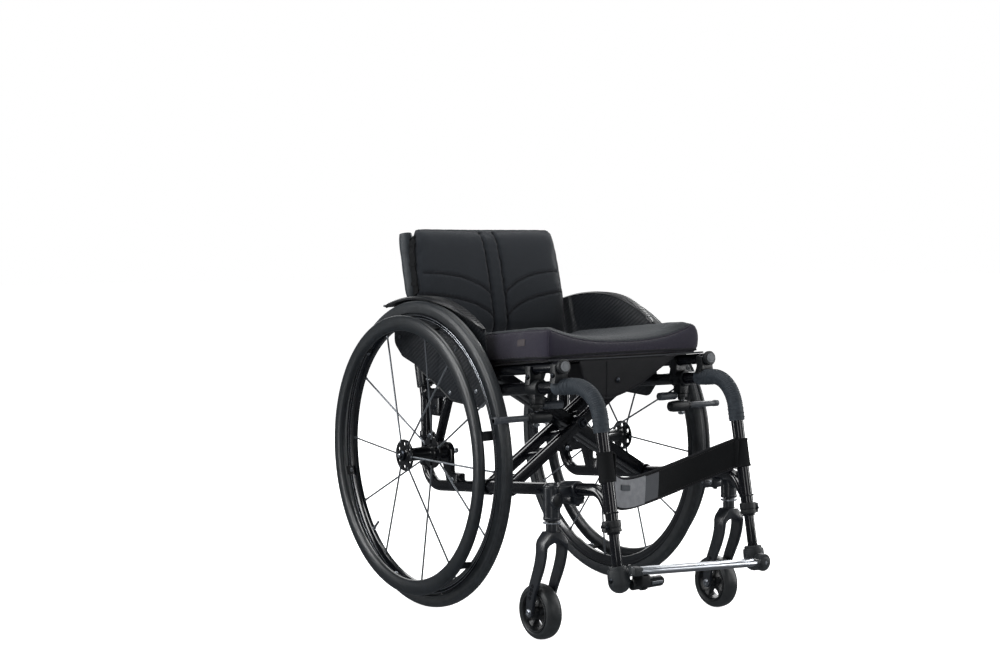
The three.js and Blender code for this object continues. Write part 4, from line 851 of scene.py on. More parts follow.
def sideFrameShape():
    z = sideSizes
    shape = Shape(frameGloss)
    addBar(shape, finer(upperLine, 30), tubeRadius, 36)
    addBar(shape, finer(lowerLine, 30), tubeRadius, 36)
    strutTop = vec(half, z["strutTopY"], upperZ(z["strutTopY"]))
    strutFoot = vec(half, z["strutFootY"], z["strutFootHeight"])
    addBar(shape, [strutTop, strutFoot], z["strutRadius"], 30)
    addWeld(shape, strutTop + unit(strutFoot - strutTop) * (tubeRadius + 0.5), strutFoot - strutTop,
            z["strutRadius"] + 0.4, 1.8, unit(strutFoot - strutTop) * 3.2)
    addWeld(shape, vec(half, chair["rearTubeY"] - tubeRadius - 0.3, upperZ(chair["rearTubeY"] - tubeRadius)),
            (0, 1, 0), tubeRadius + 0.2, 1.8)
    addWeld(shape, legPoint(chair["lowerFrontEnd"] + 2), legPoint(300) - legPoint(200), tubeRadius + 0.6, 1.6)
    plates = (((chair["rearTubeY"], axleZ), z["plateTubeRadius"]),
              ((z["strutFootY"], z["strutFootHeight"]), z["plateRadius"] - 0.01),
              ((z["footPlateY"], lowerZ(z["footPlateY"])), z["footPlateRadius"]))
    for i, (far, radius) in enumerate(plates):  # each a little thinner, so that no faces lie in one plane
        thick = z["plateThickness"] / 2 - 0.35 * i
        addPlate(shape, linkOutline((0, axleZ), far, z["plateRadius"], radius), half - thick, half + thick,
                 edge=2.0)
    inner, outer, boss = z["bossInnerX"], z["bossOuterX"], z["bossRadius"]
    addTurned(shape, [(inner, 0), (inner, boss - 1.5), (inner + 1.5, boss), (outer - 2, boss),
                      (outer - 0.6, boss - 1.4), (outer - 0.6, 0)], (0, 0, axleZ), "x", 40)
    addBlock(shape, (half - z["lugWidth"] / 2, z["lugFrontY"], lowerZ(z["lugRearY"])),
             (half + z["lugWidth"] / 2, z["lugRearY"], z["lugHeight"]), 3.0)
    addBlock(shape, (half - z["gussetWidth"] / 2, z["gussetFrontY"], z["gussetLow"]),
             (half + z["gussetWidth"] / 2, z["gussetRearY"], upperZ(z["gussetRearY"]) - 4), 3.0)
    # clamp bands of the axle plate round the upright, with their bolts
    for height in z["bands"]:
        addTurned(shape, eased(band(-9, 9, 0, z["bandRadius"]), 2, closed=False),
                  (half, chair["rearTubeY"], height), "z", 32)
        addBlock(shape, (half - 5, chair["rearTubeY"] - 25, height - 8),
                 (half + 5, chair["rearTubeY"] - 10, height + 8), 2)
        for out in (1, -1):
            addBolt(shape, (half + out * 5, chair["rearTubeY"] - 19, height), (out, 0, 0), 4.2, 4,
                    look=steelPlated)
    for y, height in z["plateBolts"]:
        addBolt(shape, (half + z["plateThickness"] / 2, y, height), (1, 0, 0), 4.0, 3)
    addBolt(shape, (half + z["lugWidth"] / 2, *z["lugBolt"]), (1, 0, 0), 4.5, 3.5, look=steelPlated)
    addBolt(shape, (half + z["gussetWidth"] / 2, *z["gussetBolt"]), (1, 0, 0), 4.2, 3.5)
    return shape


sleeveSizes = {
    "startY": -355, "endHeight": 377, "radius": 14.0, "pitch": 3.6, "rib": 0.75, "cuff": 26, "band": 9,
}


def sleeveShape():
    z = sleeveSizes
    start = vec(tubeX(z["startY"], chair["frontY"]), z["startY"], upperZ(z["startY"]))
    path = finer(bentPath([start, legPoint(cornerZ), legPoint(z["endHeight"])], [chair["frontBend"]], 3), 4)
    shape = Shape(sleeveRubber)
    addBar(shape, path, z["radius"], 36, edge=1.5)
    addRibs(shape, partOf(path, z["band"] + 3, -z["cuff"] - 2), z["pitch"], z["radius"] - 0.15, z["rib"] + 0.15,
            sleeveRubber)
    addBar(shape, partOf(path, 0.0, z["band"]), z["radius"] + 0.4, 36, edge=0.5)
    addBar(shape, partOf(path, -z["cuff"], 0.0), z["radius"] + 0.35, 36, edge=0.6)
    for k in range(3):
        for start in (-z["cuff"] + 4 + k * 8, z["band"] + 12 + k * 10):
            addRibs(shape, partOf(path, start, start + 0.5), 1.0, z["radius"] + 0.3, 0.95, sleeveRubber)
    return shape


placePairs(
    ("{}_frame_tubes", sideFrameShape, "{}_side", "{}_side_frame", "frame_paint"),
    ("{}_grip_sleeve", sleeveShape, "{}_side", "{}_front_sleeve", "grip_rubber"))

print("seat rails and saddles")
railSizes = {
    "frontY": -384, "rearY": 24, "capRadius": 9, "capLength": 4, "collarRadius": 13.6, "collarLength": 7,
}


def railShape():
    z = railSizes
    shape = Shape(frameGloss)
    at = lambda y, lift=0.0: vec(half, y, railZ(y) + lift)
    addBar(shape, [at(z["frontY"]), at(z["rearY"])], chair["railRadius"], 32)
    way = at(z["frontY"]) - at(z["rearY"])
    shape.use(mouldedPlastic)
    addTurned(shape, eased(band(-z["collarLength"], 0.5, 0, z["collarRadius"]), 1.4, closed=False),
              at(z["frontY"]), way, 36)
    addTurned(shape, [(-3, 0), (-3, 10.4), (1.5, 10.4), (2.5, 9), (2.5, 0)], at(z["rearY"]), -way, 32)
    shape.use(capPlastic)
    cap, long = z["capRadius"], z["capLength"]
    addTurned(shape, [(0.3, 0), (0.3, cap), (long - 1.2, cap), (long - 0.2, 8.0), (long - 0.2, 6.9),
                      (long - 0.7, 6.6), (long - 0.7, 6.2), (long, 5.8), (long, 0)], at(z["frontY"]), way, 36)
    return shape


saddleSizes = {
    "frontY": -368, "rearY": -292, "length": 16, "cheek": 5, "cheekRise": 5, "baseRise": 7.5, "sleeve": 14.6,
}


def saddleShape(y, tube):
    z = saddleSizes
    shape = Shape(mouldedPlastic)
    wide = chair["railRadius"] + chair["gap"] + z["cheek"]
    top, railMiddle, tubeMiddle = railZ(y) + z["cheekRise"], railZ(y), upperZ(y)
    bore, tubeBore = chair["railRadius"] + 0.5, tube + 0.4
    inner = [(half + bore * math.cos(a), railMiddle + bore * math.sin(a)) for a in np.linspace(0, -math.pi, 13)]
    low = tubeMiddle + z["baseRise"]
    start = math.acos(min(1, z["baseRise"] / tubeBore))
    under = [(tubeX(y, chair["frontY"]) + tubeBore * math.sin(a), tubeMiddle + tubeBore * math.cos(a))
             for a in np.linspace(-start, start, 11)]
    outline = [(half + wide - 1.2, top), (half + bore, top), *inner, (half - bore, top),
               (half - wide + 1.2, top), (half - wide, railMiddle - 3),
               (half - wide + 1.6, (railMiddle + low) / 2), (half - wide - 1.5, low), *under,
               (half + wide + 1.5, low), (half + wide - 1.6, (railMiddle + low) / 2),
               (half + wide, railMiddle - 3)]
    addPlate(shape, outline, y - z["length"] / 2, y + z["length"] / 2, axes="xzy", edge=0.9)
    addBolt(shape, (half + wide, y, (railMiddle + low) / 2 - 1), (1, 0, 0), 3.6, 3)
    return shape


placePairs(
    ("{}_rail", railShape, {"right": "arm_b", "left": "arm_a"}, "{}_seat_rail", "frame_paint"),
    ("{}_front_cradle", lambda: saddleShape(saddleSizes["frontY"], saddleSizes["sleeve"]), "{}_side",
     "{}_front_saddle", "frame_paint"),
    ("{}_rear_cradle", lambda: saddleShape(saddleSizes["rearY"], tubeRadius), "{}_side", "{}_rear_saddle",
     "frame_paint"))

print("legs")
legSizes = {
    "extensionRadius": 9, "extensionRise": 45, "bracketTop": 149, "bracketRadius": 19.5, "bracketFoot": 103,
    "collarLow": 207, "collarHigh": 227, "collarRadius": 15, "earLength": 6, "earWidth": 12,
}


def extensionShape():
    z = legSizes
    shape = Shape(frameGloss)
    addBar(shape, [legPoint(z["bracketTop"] - 14.7), legPoint(chair["legEnd"] + z["extensionRise"])],
           z["extensionRadius"], 30)
    return shape


def collarShape():
    z = legSizes
    shape = Shape(mouldedPlastic)
    low, high = legPoint(z["collarLow"]), legPoint(z["collarHigh"])
    long, inner = np.linalg.norm(high - low), tubeRadius + 0.35
    r = z["collarRadius"]
    profile = eased([(0, inner), (0, r), (5, r), (6, r - 0.9), (8, r - 0.9), (9, r), (long, r), (long, inner)],
                    0.8)
    addTurned(shape, profile, low, high - low, 36, ring=True)
    middle, ear = (low + high) / 2, z["earWidth"] / 2
    for rise in (-5, 5):
        addBlock(shape, (low[0] + tubeRadius, middle[1] - ear, middle[2] + rise - 4),
                 (low[0] + r + z["earLength"], middle[1] + ear, middle[2] + rise + 4), 1.2)
    for side, radius in ((-1, 3.0), (1, 3.4)):
        addBolt(shape, (low[0] + r + 2.2, middle[1] + side * ear, middle[2]), (0, side, 0), radius, 3)
    return shape


barSizes = {
    "y": -546.5, "pivotX": 150, "pivotHeight": 124.8, "tilt": 3.8, "tipX": 158, "width": 30, "thickness": 15,
    "eyeRadius": 16, "eyeWidth": 17, "pinRadius": 4, "pinHeadRadius": 11.5, "pinHead": 3, "wideInset": 31,
}


# The foot end of a leg: a boot with a soft toe, and on the left the pin that the footrest turns on.
def bootShape(pinned):
    z = legSizes
    shape = Shape(bootPlastic)
    shoulder = z["bracketFoot"] + z["bracketRadius"]
    low, high = legPoint(shoulder), legPoint(z["bracketTop"])
    long, r = np.linalg.norm(high - low), z["bracketRadius"]
    way = unit(high - low)
    foot = [(-r * math.cos(a) * 0.99, r * math.sin(a)) for a in np.linspace(0, math.pi / 2, 12)]
    profile = [*foot, (long * 0.35, r), (long - 8, r - 0.6), (long - 5.5, r - 1.2), (long - 5.2, r - 3.2),
               (long - 1.2, r - 3.8), (long, r - 5), (long, z["extensionRadius"] + 0.5),
               (long - 3, z["extensionRadius"] + 0.4), (long - 3, 0)]
    addTurned(shape, profile, low, way, 44)
    if pinned:
        at = lambda y: vec(barSizes["pivotX"], y, barSizes["pivotHeight"])
        front = barSizes["y"] - barSizes["eyeWidth"] / 2 - chair["gap"]
        shape.use(steelPlated)
        addBar(shape, [at(front - barSizes["pinHead"]), at(low[1] - 6)], barSizes["pinRadius"], 20)
        shape.use(bootPlastic)
        head, dome = barSizes["pinHead"], barSizes["pinHeadRadius"]
        curve = [(head * math.sin(a), dome * math.cos(a) ** 0.5) for a in np.linspace(0, 1.3, 7)]
        addTurned(shape, [(0, 0), *curve, (head, 0)], at(front), (0, -1, 0), 36)
    else:
        addBolt(shape, low + vec(r * 0.96, 0, 4), (1, 0, 0), 4, 2.4)
    return shape


def footrestShape():
    z = barSizes
    shape = Shape(polishedAlloy)
    length = z["pivotX"] + z["tipX"]
    thick, wide = z["thickness"] / 2, z["width"] / 2
    inset = z["wideInset"]
    stations = [(-length, 0.55), (-length + 3, 0.57), (-length + inset * 0.5, 0.6), (-length + inset, 0.86),
                (-length + inset + 10, 0.97), (-length + inset + 22, 1.0), (-length / 2, 1.0),
                (-inset - 22, 1.0), (-inset - 10, 0.97), (-inset, 0.86), (-inset * 0.6, 0.6), (-8, 0.57)]
    shape.addRings([[(x, y, height) for y, height in oval(
        wide * share, thick * (0.97 if share > 0.8 else 0.93), 32, z["y"])] for x, share in stations])
    shape.use(bootPlastic)
    high = z["eyeWidth"] / 2
    ring = eased(band(z["y"] - high, z["y"] + high, z["pinRadius"] + 0.4, z["eyeRadius"]), 3.4)
    addTurned(shape, ring, (0, 0, 0), "y", 36, ring=True)
    addPlate(shape, eased([(-26, -6.9), (-4, -7.2), (-4, 7.2), (-26, 6.9)], 1.5), z["y"] - 9.5, z["y"] + 9.5,
             axes="xzy", edge=2)
    addPlate(shape, eased(rectangle(-length - 0.5, -7.4, -length + 19, 7.4), 2.5),
             z["y"] - 9, z["y"] + 9, axes="xzy", edge=2)
    tilted = Matrix.Rotation(math.radians(z["tilt"]), 4, "Y")
    return shape.moved(Matrix.Translation((z["pivotX"], 0, z["pivotHeight"])) @ tilted)


latchSizes = {
    "y": -528, "height": 117, "radius": 9.5, "tipX": 76, "collarX": 112, "collarRadius": 12, "collarLength": 12,
    "noseX": 120, "noseWidth": 18, "noseDepth": 24, "knurlRadius": 11.2, "knurls": 18, "buttonRadius": 7.0,
    "plateX": 80, "plateFarX": 104, "plateHalf": 2.6,
}


def latchShape():  # on the right, so its X is already the real one
    z = latchSizes
    shape = Shape(mouldedPlastic)
    at = lambda x: vec(-x, z["y"], z["height"])
    bracket = legPoint(legSizes["bracketFoot"] + legSizes["bracketRadius"])
    addBar(shape, [at(z["tipX"]), at(bracket[0] - legSizes["bracketRadius"] * 0.9)], z["radius"], 30, edge=2.0)
    template = Shape(mouldedPlastic)
    addBlock(template, (-z["collarX"] - 1.2 - z["collarLength"] + 2, -1.1, z["collarRadius"] - 1.6),
             (-z["collarX"] - 1.2, 1.1, z["collarRadius"] + 0.2), 0.5)
    knurl = Shape(mouldedPlastic)
    addTurned(knurl, eased(band(-z["collarX"] - z["collarLength"], -z["collarX"], 0, z["knurlRadius"]), 1.0,
                           closed=False), segments=36)
    addTurns(knurl, template, z["knurls"])
    shape.join(knurl.moved(Matrix.Translation((0, z["y"], z["height"]))))
    tilt = math.radians(barSizes["tilt"])
    under = lambda x: (barSizes["pivotHeight"] + (x + barSizes["pivotX"]) * math.tan(tilt)
                       - barSizes["thickness"] / 2 / math.cos(tilt) - 0.4)
    far = z["noseX"] + z["noseWidth"]
    addPlate(shape, [(-far, z["height"]), (-z["noseX"], z["height"]), (-z["noseX"], under(z["noseX"])),
                     (-far, under(far))], z["y"] - z["noseDepth"], z["y"] + z["radius"] / 2, axes="xzy",
             edge=1.0)
    shape.use(steelPlated)
    addPlate(shape,
             eased(rectangle(-z["plateFarX"], z["height"] - z["plateHalf"], -z["plateX"],
                             z["height"] + z["plateHalf"]), 1.5), z["y"] - z["radius"] - 1.2,
             z["y"] - z["radius"] + 2, axes="xzy", edge=0.7)
    shape.use(mouldedPlastic)
    addBar(shape, [at(z["tipX"] - 3.5), at(z["tipX"] + 12)], z["buttonRadius"], 26, edge=2.0)
    return shape


placePairs(("{}_leg_tube", extensionShape, "{}_side", "{}_leg_extension", "frame_paint"),
           ("{}_leg_clamp", collarShape, "{}_side", "{}_leg_collar", "dark_plastic"),
           ("{}_boot", {"right": lambda: bootShape(False), "left": lambda: bootShape(True)}, "{}_side",
            "{}_foot_bracket", "dark_plastic"))
place("footrest", footrestShape(), "footrest", "footrest_bar", "polished")
place("footrest_catch", latchShape(), "right_side", "footrest_latch", "dark_plastic")

print("wheels")
wheelSizes = {
    "radius": 300, "halfWidth": 12, "crown": 12, "inner": 277, "rimHalf": 9.5, "rimOuter": 275.7,
    "shoulder": 266, "rimInner": 256, "pushX": 39, "pushRadius": 257.4, "pushWide": 8.2, "pushTall": 15.0,
    "tabs": 6, "tabAngle": 47, "tabRadius": 262, "tabWidth": 18, "tabThickness": 5, "spokes": 12,
    "spokeRadius": 1.9, "valveAngle": -43, "grooves": (-0.62, -0.5, -0.22, -0.11, 0, 0.11, 0.22, 0.5, 0.62),
    "grooveDepth": 0.55, "grooveWidth": 0.016, "brightLines": ((272.0, 0.05, 0.55), (266.6, -1.2, 0.5)),
}
atWheel = Matrix.Translation((chair["wheelX"], 0, axleZ))


def tyreShape():
    z = wheelSizes
    shape = Shape(tyreRubber)
    profile, shoulder = [], z["radius"] - z["crown"]
    for t in np.linspace(-1, 1, 57):  # over the crown from one bead to the other, with moulded lines along it
        angle = t * math.pi * 0.62
        across = z["halfWidth"] * math.copysign(min(1, abs(math.sin(angle))) ** 0.9, angle)
        lift = shoulder + z["crown"] * math.cos(angle)
        if abs(angle) >= math.pi / 2:
            lift = shoulder - (abs(angle) - math.pi / 2) / (math.pi * 0.12) * (shoulder - z["inner"])
        groove = sum(z["grooveDepth"] * math.exp(-((t - at) / z["grooveWidth"]) ** 2) for at in z["grooves"])
        profile.append((across * (1 - groove / 60), lift - groove))
    profile += [(9.2, 276.2), (-9.2, 276.2)]
    addTurned(shape, profile, segments=144, ring=True)
    return shape.moved(atWheel)


def rimShape():
    z = wheelSizes
    shape = Shape(rimGloss)
    half, inner = z["rimHalf"], z["rimHalf"] / 2
    outer = z["rimOuter"]
    profile = eased([*bothSides([
        (-half, outer), (-half, outer - 3.5), (-half + 1.3, outer - 4.3), (-half + 1.3, z["shoulder"]),
        (-inner, z["rimInner"] + 1.5), (-inner + 1.5, z["rimInner"])]),
        (4, outer), (3, outer - 3), (-3, outer - 3), (-4, outer)], 0.8)
    addTurned(shape, profile, segments=128, ring=True)
    shape.use(steelPlated)  # two bright steel rings by the outer edge, painted highlights on the lips of the rim
    for radius, out, thick in z["brightLines"]:
        addTurned(shape, oval(thick, thick, 6, half + out, radius), segments=128, ring=True)
    tip = Shape(steelPlated)
    angle = math.radians(z["valveAngle"])
    way = vec(0, math.cos(angle), math.sin(angle))
    stem = [(0, 0), (0, 4.2), (2, 4.2), (2.6, 3.0), (9, 3.0), (9.4, 2.4), (22, 2.4), (22.4, 3.0), (25.5, 3.0),
            (26.5, 2.2), (26.5, 0)]
    addTurned(tip, stem, way * (z["rimInner"] + 0.6), -way, 20)
    return shape.join(tip).moved(atWheel)


hubSizes = {
    "inner": -28.6, "innerFlange": -24.6, "outerFlange": 38.5, "outer": 43, "flangeRadius": 31, "thickness": 4,
    "bore": 6.35, "holes": 6, "holeCircle": 22, "holeRadius": 4.6, "spokeCircle": 28, "spokeSpread": 3,
    "start": 2,
}


def hubShape():
    z, w = hubSizes, wheelSizes
    shape = Shape(hubGloss)
    flange, half = z["flangeRadius"], z["thickness"] / 2
    near, far, inner, outer = z["innerFlange"], z["outerFlange"], z["inner"], z["outer"]
    body = [(inner, z["bore"]), (inner, 12.5), (inner + 1, 13.5), (near - half, 14.5),
            (near + half + 0.5, 17.5), (near + half + 4, 14.5), (-12, 13.2), (26, 13.2), (far - half - 4, 14.5),
            (far - half - 0.5, 17.5), (far + half, 16), (outer - 1, 14.8), (outer, 13.8), (outer, z["bore"])]
    addTurned(shape, body, segments=64, ring=True)
    for x in (near, far):
        disc, cutter = Shape(hubGloss), Shape(hubGloss)
        addTurned(disc, eased(band(x - half, x + half, 13, flange), 0.9), segments=72, ring=True)
        for k in range(z["holes"]):
            y, height = [z["holeCircle"] * turned((k + 0.5) * math.pi / 3) for turned in (math.cos, math.sin)]
            addBar(cutter, [(x - 4, y, height), (x + 4, y, height)], z["holeRadius"], 20, edge=0)
        shape.join(cutAway(disc, cutter))
    for parity, flangeX, rimX in ((0, far, z["spokeSpread"]), (1, near, -z["spokeSpread"])):
        count = w["spokes"] // 2
        start = z["start"] - 90 + 180 / count * parity
        foot, tip = vec(flangeX, 0, z["spokeCircle"]), vec(rimX, 0, w["rimInner"] - 1.6)
        template = Shape(spokeBlack)
        addBar(template, [foot, tip], w["spokeRadius"], 8, edge=0)
        addTurned(template, [(-2.8, 0), (-2.8, 2.2), (-2.2, 2.6), (2.2, 2.6), (2.8, 2.2), (2.8, 0)], foot, "x",
                  12)
        addTurns(shape, template, count, start)
        nipple = Shape(spokeBlack)
        way = unit(tip - foot)
        addTurned(nipple, [(-13, 0), (-13, 1.6), (-12, 1.9), (-2.5, 1.9), (-2, 2.7), (1.4, 2.7), (1.4, 0)], tip,
                  way, 10)
        addTurns(shape, nipple, count, start)
    return shape.moved(atWheel)


def pushrimShape():
    z = wheelSizes
    shape = Shape(pushrimCoat)
    section = [(z["pushX"] + z["pushWide"] * math.copysign(abs(math.cos(a)) ** 0.82, math.cos(a)),
                z["pushRadius"] + z["pushTall"] * math.copysign(abs(math.sin(a)) ** 0.9, math.sin(a)))
               for a in roundTurn(26)]
    addTurned(shape, section, segments=144, ring=True)
    tab = Shape(mouldedPlastic)
    r, half = z["tabRadius"], z["tabThickness"] / 2
    outline = eased([(8.2, r - half), (22, r - half - 1.2), (33.5, r - half), (33.5, r + half),
                     (22, r + half - 1.2), (8.2, r + half)], 1.2)
    addPlate(tab, outline, -z["tabWidth"] / 2, z["tabWidth"] / 2, axes="xzy", edge=1.6)
    addBolt(tab, (15, 0, r - half + 0.2), (0, 0, -1), 3.4, 3.2, 12, steelPlated)
    joined = Shape(mouldedPlastic)
    addTurns(joined, tab, z["tabs"], z["tabAngle"] - 90)
    bolt = Shape(steelPlated)
    addTurned(bolt, [(0, 0), (0, 4.0), (1.6, 4.0), (2.4, 3.2), (2.4, 1.6), (1.2, 1.4), (1.2, 0)],
              (15, 0, r - half - 0.9), (0, 0, -1), 14)
    addTurns(joined, bolt, z["tabs"], z["tabAngle"] - 90)
    return shape.join(joined).moved(atWheel)


pinSizes = {
    "radius": 6, "low": -73.9, "high": 43.3, "tip": 11, "nutRadius": 9.5, "nutLength": 6, "headRadius": 11,
    "headLength": 5, "buttonRadius": 4.6, "buttonProud": 5,
}


def pinShape():
    z = pinSizes
    shape = Shape(polishedAlloy)
    low, high, r, nut, head = z["low"], z["high"], z["radius"], z["nutRadius"], z["headRadius"]
    tip, nutEnd, top = low - z["tip"], low + z["nutLength"], high + z["headLength"]
    addTurned(shape, [(tip, 0), (tip, 4), (tip + 1.5, 5.4), (low, 5.4), (low + 1, r - 0.1), (high - 4, r - 0.1),
                      (high - 4, 0)], segments=28)
    addTurned(shape, [(low, r), (low, nut - 0.6), (low + 0.8, nut), (nutEnd - 0.8, nut), (nutEnd, nut - 0.8),
                      (nutEnd, r)], segments=6, ring=True)
    shape.use(darkSteel)
    addTurned(shape, [(high - 3.9, 5.2), (high - 3.9, 5.9), (high, 5.9), (high, 10.6), (high + 1, head),
                      (top - 1.4, head), (top, 9.4), (top, 5.4), (top - 1, 5.2)], segments=36, ring=True)
    return shape.moved(atWheel)


def buttonShape():
    z = pinSizes
    shape = Shape(steelPlated)
    low, top, r = z["high"] + 1.2, z["high"] + z["headLength"] + z["buttonProud"], z["buttonRadius"]
    addTurned(shape, [(low, 0), (low, r), (top - 1.2, r), (top, 3.4), (top, 2.4), (top - 0.5, 2.0),
                      (top - 0.5, 0)], segments=28)
    return shape.moved(atWheel)


placePairs(
    ("{}_tyre_rubber", tyreShape, "{}_wheel", "{}_tyre", "tyre"),
    ("{}_wheel_rim", rimShape, "{}_wheel", "{}_rim", "frame_paint"),
    ("{}_hub_spokes", hubShape, "{}_wheel", "{}_wheel_hub", "hub_paint"),
    ("{}_hand_rim", pushrimShape, "{}_wheel", "{}_pushrim", "pushrim_coat"),
    ("{}_axle", pinShape, "{}_side", "{}_axle_pin", "steel"),
    ("{}_release_button", buttonShape, "{}_button", "{}_axle_button", "steel"))

print("castors")
castorSizes = {
    "x": 213, "y": -394, "housingRadius": 15.2, "housingLow": 219, "housingHigh": 285, "stemRadius": 6,
    "stemTop": 268, "neckRadius": 11, "neckLow": 199, "neckHigh": 217.6, "trail": 36, "radius": 50,
    "halfWidth": 16, "crown": 11, "rimRadius": 37, "hubRadius": 10, "hubHalf": 18, "spokes": 5,
    "ringRadius": 15.6, "faceHeight": 254, "bladeX": 22.5, "bladeHalf": 3.4, "bladeTop": 14.8, "bladeFoot": 9.2,
    "holes": 4, "lowestHole": 0.80, "holeStep": 0.062, "boltX": 25.8, "bladeStart": 177,
    "bladePulls": (126.2, 100.8), "collarHeight": 214.6, "clampHalf": 20, "clampBlockLow": 25.5,
    "clampBlockHigh": 6,
}
castorX, castorY = castorSizes["x"], castorSizes["y"]


def castorClampShape():
    z = castorSizes
    shape = Shape(forkSatin)
    path = np.array([vec(tubeX(y, chair["lowerFrontY"]), y, lowerZ(y))
                     for y in np.linspace(castorY - z["clampHalf"], castorY + z["clampHalf"], 5)])
    addBar(shape, path, z["ringRadius"], 40, edge=2.2)
    middle = vec(tubeX(castorY, chair["lowerFrontY"]), castorY, lowerZ(castorY))
    addPlate(shape, eased([(-16, -11), (16, -11.8), (16, 11.8), (-16, 11)], 5), middle[0] + 2, castorX - 3,
             (0, castorY, middle[2]), edge=2)
    addBlock(shape, (middle[0] - 15, castorY - 19.5, middle[2] - z["clampBlockLow"]),
             (middle[0] + 9.5, castorY + 15.5, middle[2] - z["clampBlockHigh"]), 4)
    for y in (-13, 9):
        addBolt(shape, (middle[0] - 3, castorY + y, middle[2] - 25.3), (0, 0, -1), 4, 3.4)
        addBolt(shape, (middle[0] - 14.6, castorY + y, middle[2] - 15), (-1, 0, 0), 3.6, 3, look=steelPlated)
    return shape


def castorHousingShape():
    z = castorSizes
    shape = Shape(forkSatin)
    low, high, r = z["housingLow"], z["housingHigh"], z["housingRadius"]
    body = [(low, 0), (low, r + 0.5), (low + 5, r + 0.5), (low + 6, r), (high - 9, r), (high - 4, r - 1.6),
            (high, 9.5), (high, 0)]
    addTurned(shape, eased(body, 2.0, closed=False), (castorX, castorY, 0), "z", 48)
    addTurned(shape, rectangle(high - 7, r + 0.35, high - 5.6, r - 1.5),
              (castorX, castorY, 0), "z", 48, ring=True)
    # the oval face that looks forward, with a smaller oval let into it
    for wide, tall, out, look in ((11.5, 15, 3.6, forkSatin), (7.4, 10.4, 4.1, mouldedPlastic),
                                  (6.0, 9.0, 3.0, frameGloss)):
        shape.use(look)
        addPlate(shape, oval(wide, tall, 40), r - 6, r + out, (castorX, castorY, z["faceHeight"]),
                 ((1, 0, 0), (0, 0, 1), (0, -1, 0)), 1.4)
    return shape


def castorForkShape():
    z = castorSizes
    shape = Shape(forkSatin)
    low, high, neck, top, stem = [z[key] for key in ("neckLow", "neckHigh", "neckRadius", "stemTop",
                                                     "stemRadius")]
    addTurned(shape, [(low - 1, 0), (low - 1, neck), (high - 8, neck), (high, 10), (high, stem),
                      (top - 1.5, stem), (top, 4.5), (top, 0)], (0, 0, 0), "z", 32)
    arch = [(-11.5, 199), (-24.5, 184), (-26.2, 177), (-26.2, 166), (-19.2, 166), (-18.8, 171), (-14, 176),
            (-7, 179), (0, 180)]
    outline = arch + [(-x, height) for x, height in arch[-2::-1]]
    addPlate(shape, outline, -14.6, 14.6, axes="xzy", edge=2.6)
    first, second = z["bladePulls"]
    bezier = np.array([(0, z["bladeStart"]), (0, first), (z["trail"], second), (z["trail"], z["radius"])],
                      float)
    onBlade = lambda t: sum(share * p for share, p in zip(
        ((1 - t) ** 3, 3 * t * (1 - t) ** 2, 3 * t * t * (1 - t), t ** 3), bezier))
    alongBlade = lambda t: unit(sum(share * p for share, p in zip(
        (3 * (1 - t) ** 2, 6 * t * (1 - t), 3 * t * t), np.diff(bezier, axis=0))))
    foot = oval(z["bladeFoot"], z["bladeFoot"], 32, 0, z["radius"])
    for side in (-1, 1):
        rings = []
        for t in np.linspace(0, 1, 25):
            at, way = onBlade(t), alongBlade(t)
            wide = z["bladeTop"] + (z["bladeFoot"] - z["bladeTop"]) * t
            section = eased(oblong(wide, z["bladeHalf"]), 2.2)
            rings.append([(side * z["bladeX"] + s, at[0] - way[1] * w, at[1] + way[0] * w) for w, s in section])
        shape.addRings(rings)
        bladeX = side * z["bladeX"]
        addPlate(shape, foot, bladeX - z["bladeHalf"], bladeX + z["bladeHalf"], (0, z["trail"], 0), edge=1.2)
        # the holes are not cut: each is a thin ring and a flat disc in the darker gloss paint, which is painted
        # shade for the hole
        shape.use(frameGloss)
        for k in range(z["holes"]):  # the line of small blind holes above the foot
            at = onBlade(z["lowestHole"] - z["holeStep"] * k)
            addTurned(shape, [(0, 3.6), (0.5, 3.6), (0.5, 2.7), (0, 2.7)], (side * z["boltX"], *at),
                      (side, 0, 0), 16, ring=True)
            addTurned(shape, [(0, 0), (0.12, 2.8), (0.12, 0)], (side * (z["boltX"] + 0.1), *at), (side, 0, 0),
                      16)
        shape.use(forkSatin)
    shape.use(steelPlated)
    addBar(shape, [(-27, z["trail"], z["radius"]), (27, z["trail"], z["radius"])], 4, 16)
    for side in (-1, 1):
        addBolt(shape, (side * z["boltX"], z["trail"], z["radius"]), (side, 0, 0), 6.0, 3.2, look=steelPlated)
    ring = Shape(steelPlated)
    addTurned(ring, eased(band(-1.6, 1.6, 11.1, 15), 0.5), segments=40, ring=True)
    tooth = Shape(steelPlated)
    addBlock(tooth, (-1.3, -1.0, 14.6), (1.3, 1.0, 15.9), 0.3)
    addTurns(ring, tooth, 20)
    shape.join(ring.moved(Matrix.Translation((0, 0, z["collarHeight"])) @ Matrix.Rotation(math.pi / 2, 4, "Y")))
    return shape.moved(Matrix.Translation((castorX, castorY, 0)))


def castorTyreShape():
    z = castorSizes
    shape = Shape(castorRubber)
    wide, crown = z["halfWidth"], z["crown"]
    profile = [(wide * math.copysign(abs(math.sin(a)) ** 0.8, a),
                z["radius"] - crown + crown * abs(math.cos(a)) ** 0.8)
               for a in np.linspace(-math.pi / 2, math.pi / 2, 25)]
    profile += [(wide - 0.4, 38.4), (wide - 1.6, z["rimRadius"]), (1.6 - wide, z["rimRadius"]),
                (0.4 - wide, 38.4)]
    addTurned(shape, profile, segments=72, ring=True)
    return shape.moved(Matrix.Translation((castorX, castorY + z["trail"], z["radius"])))


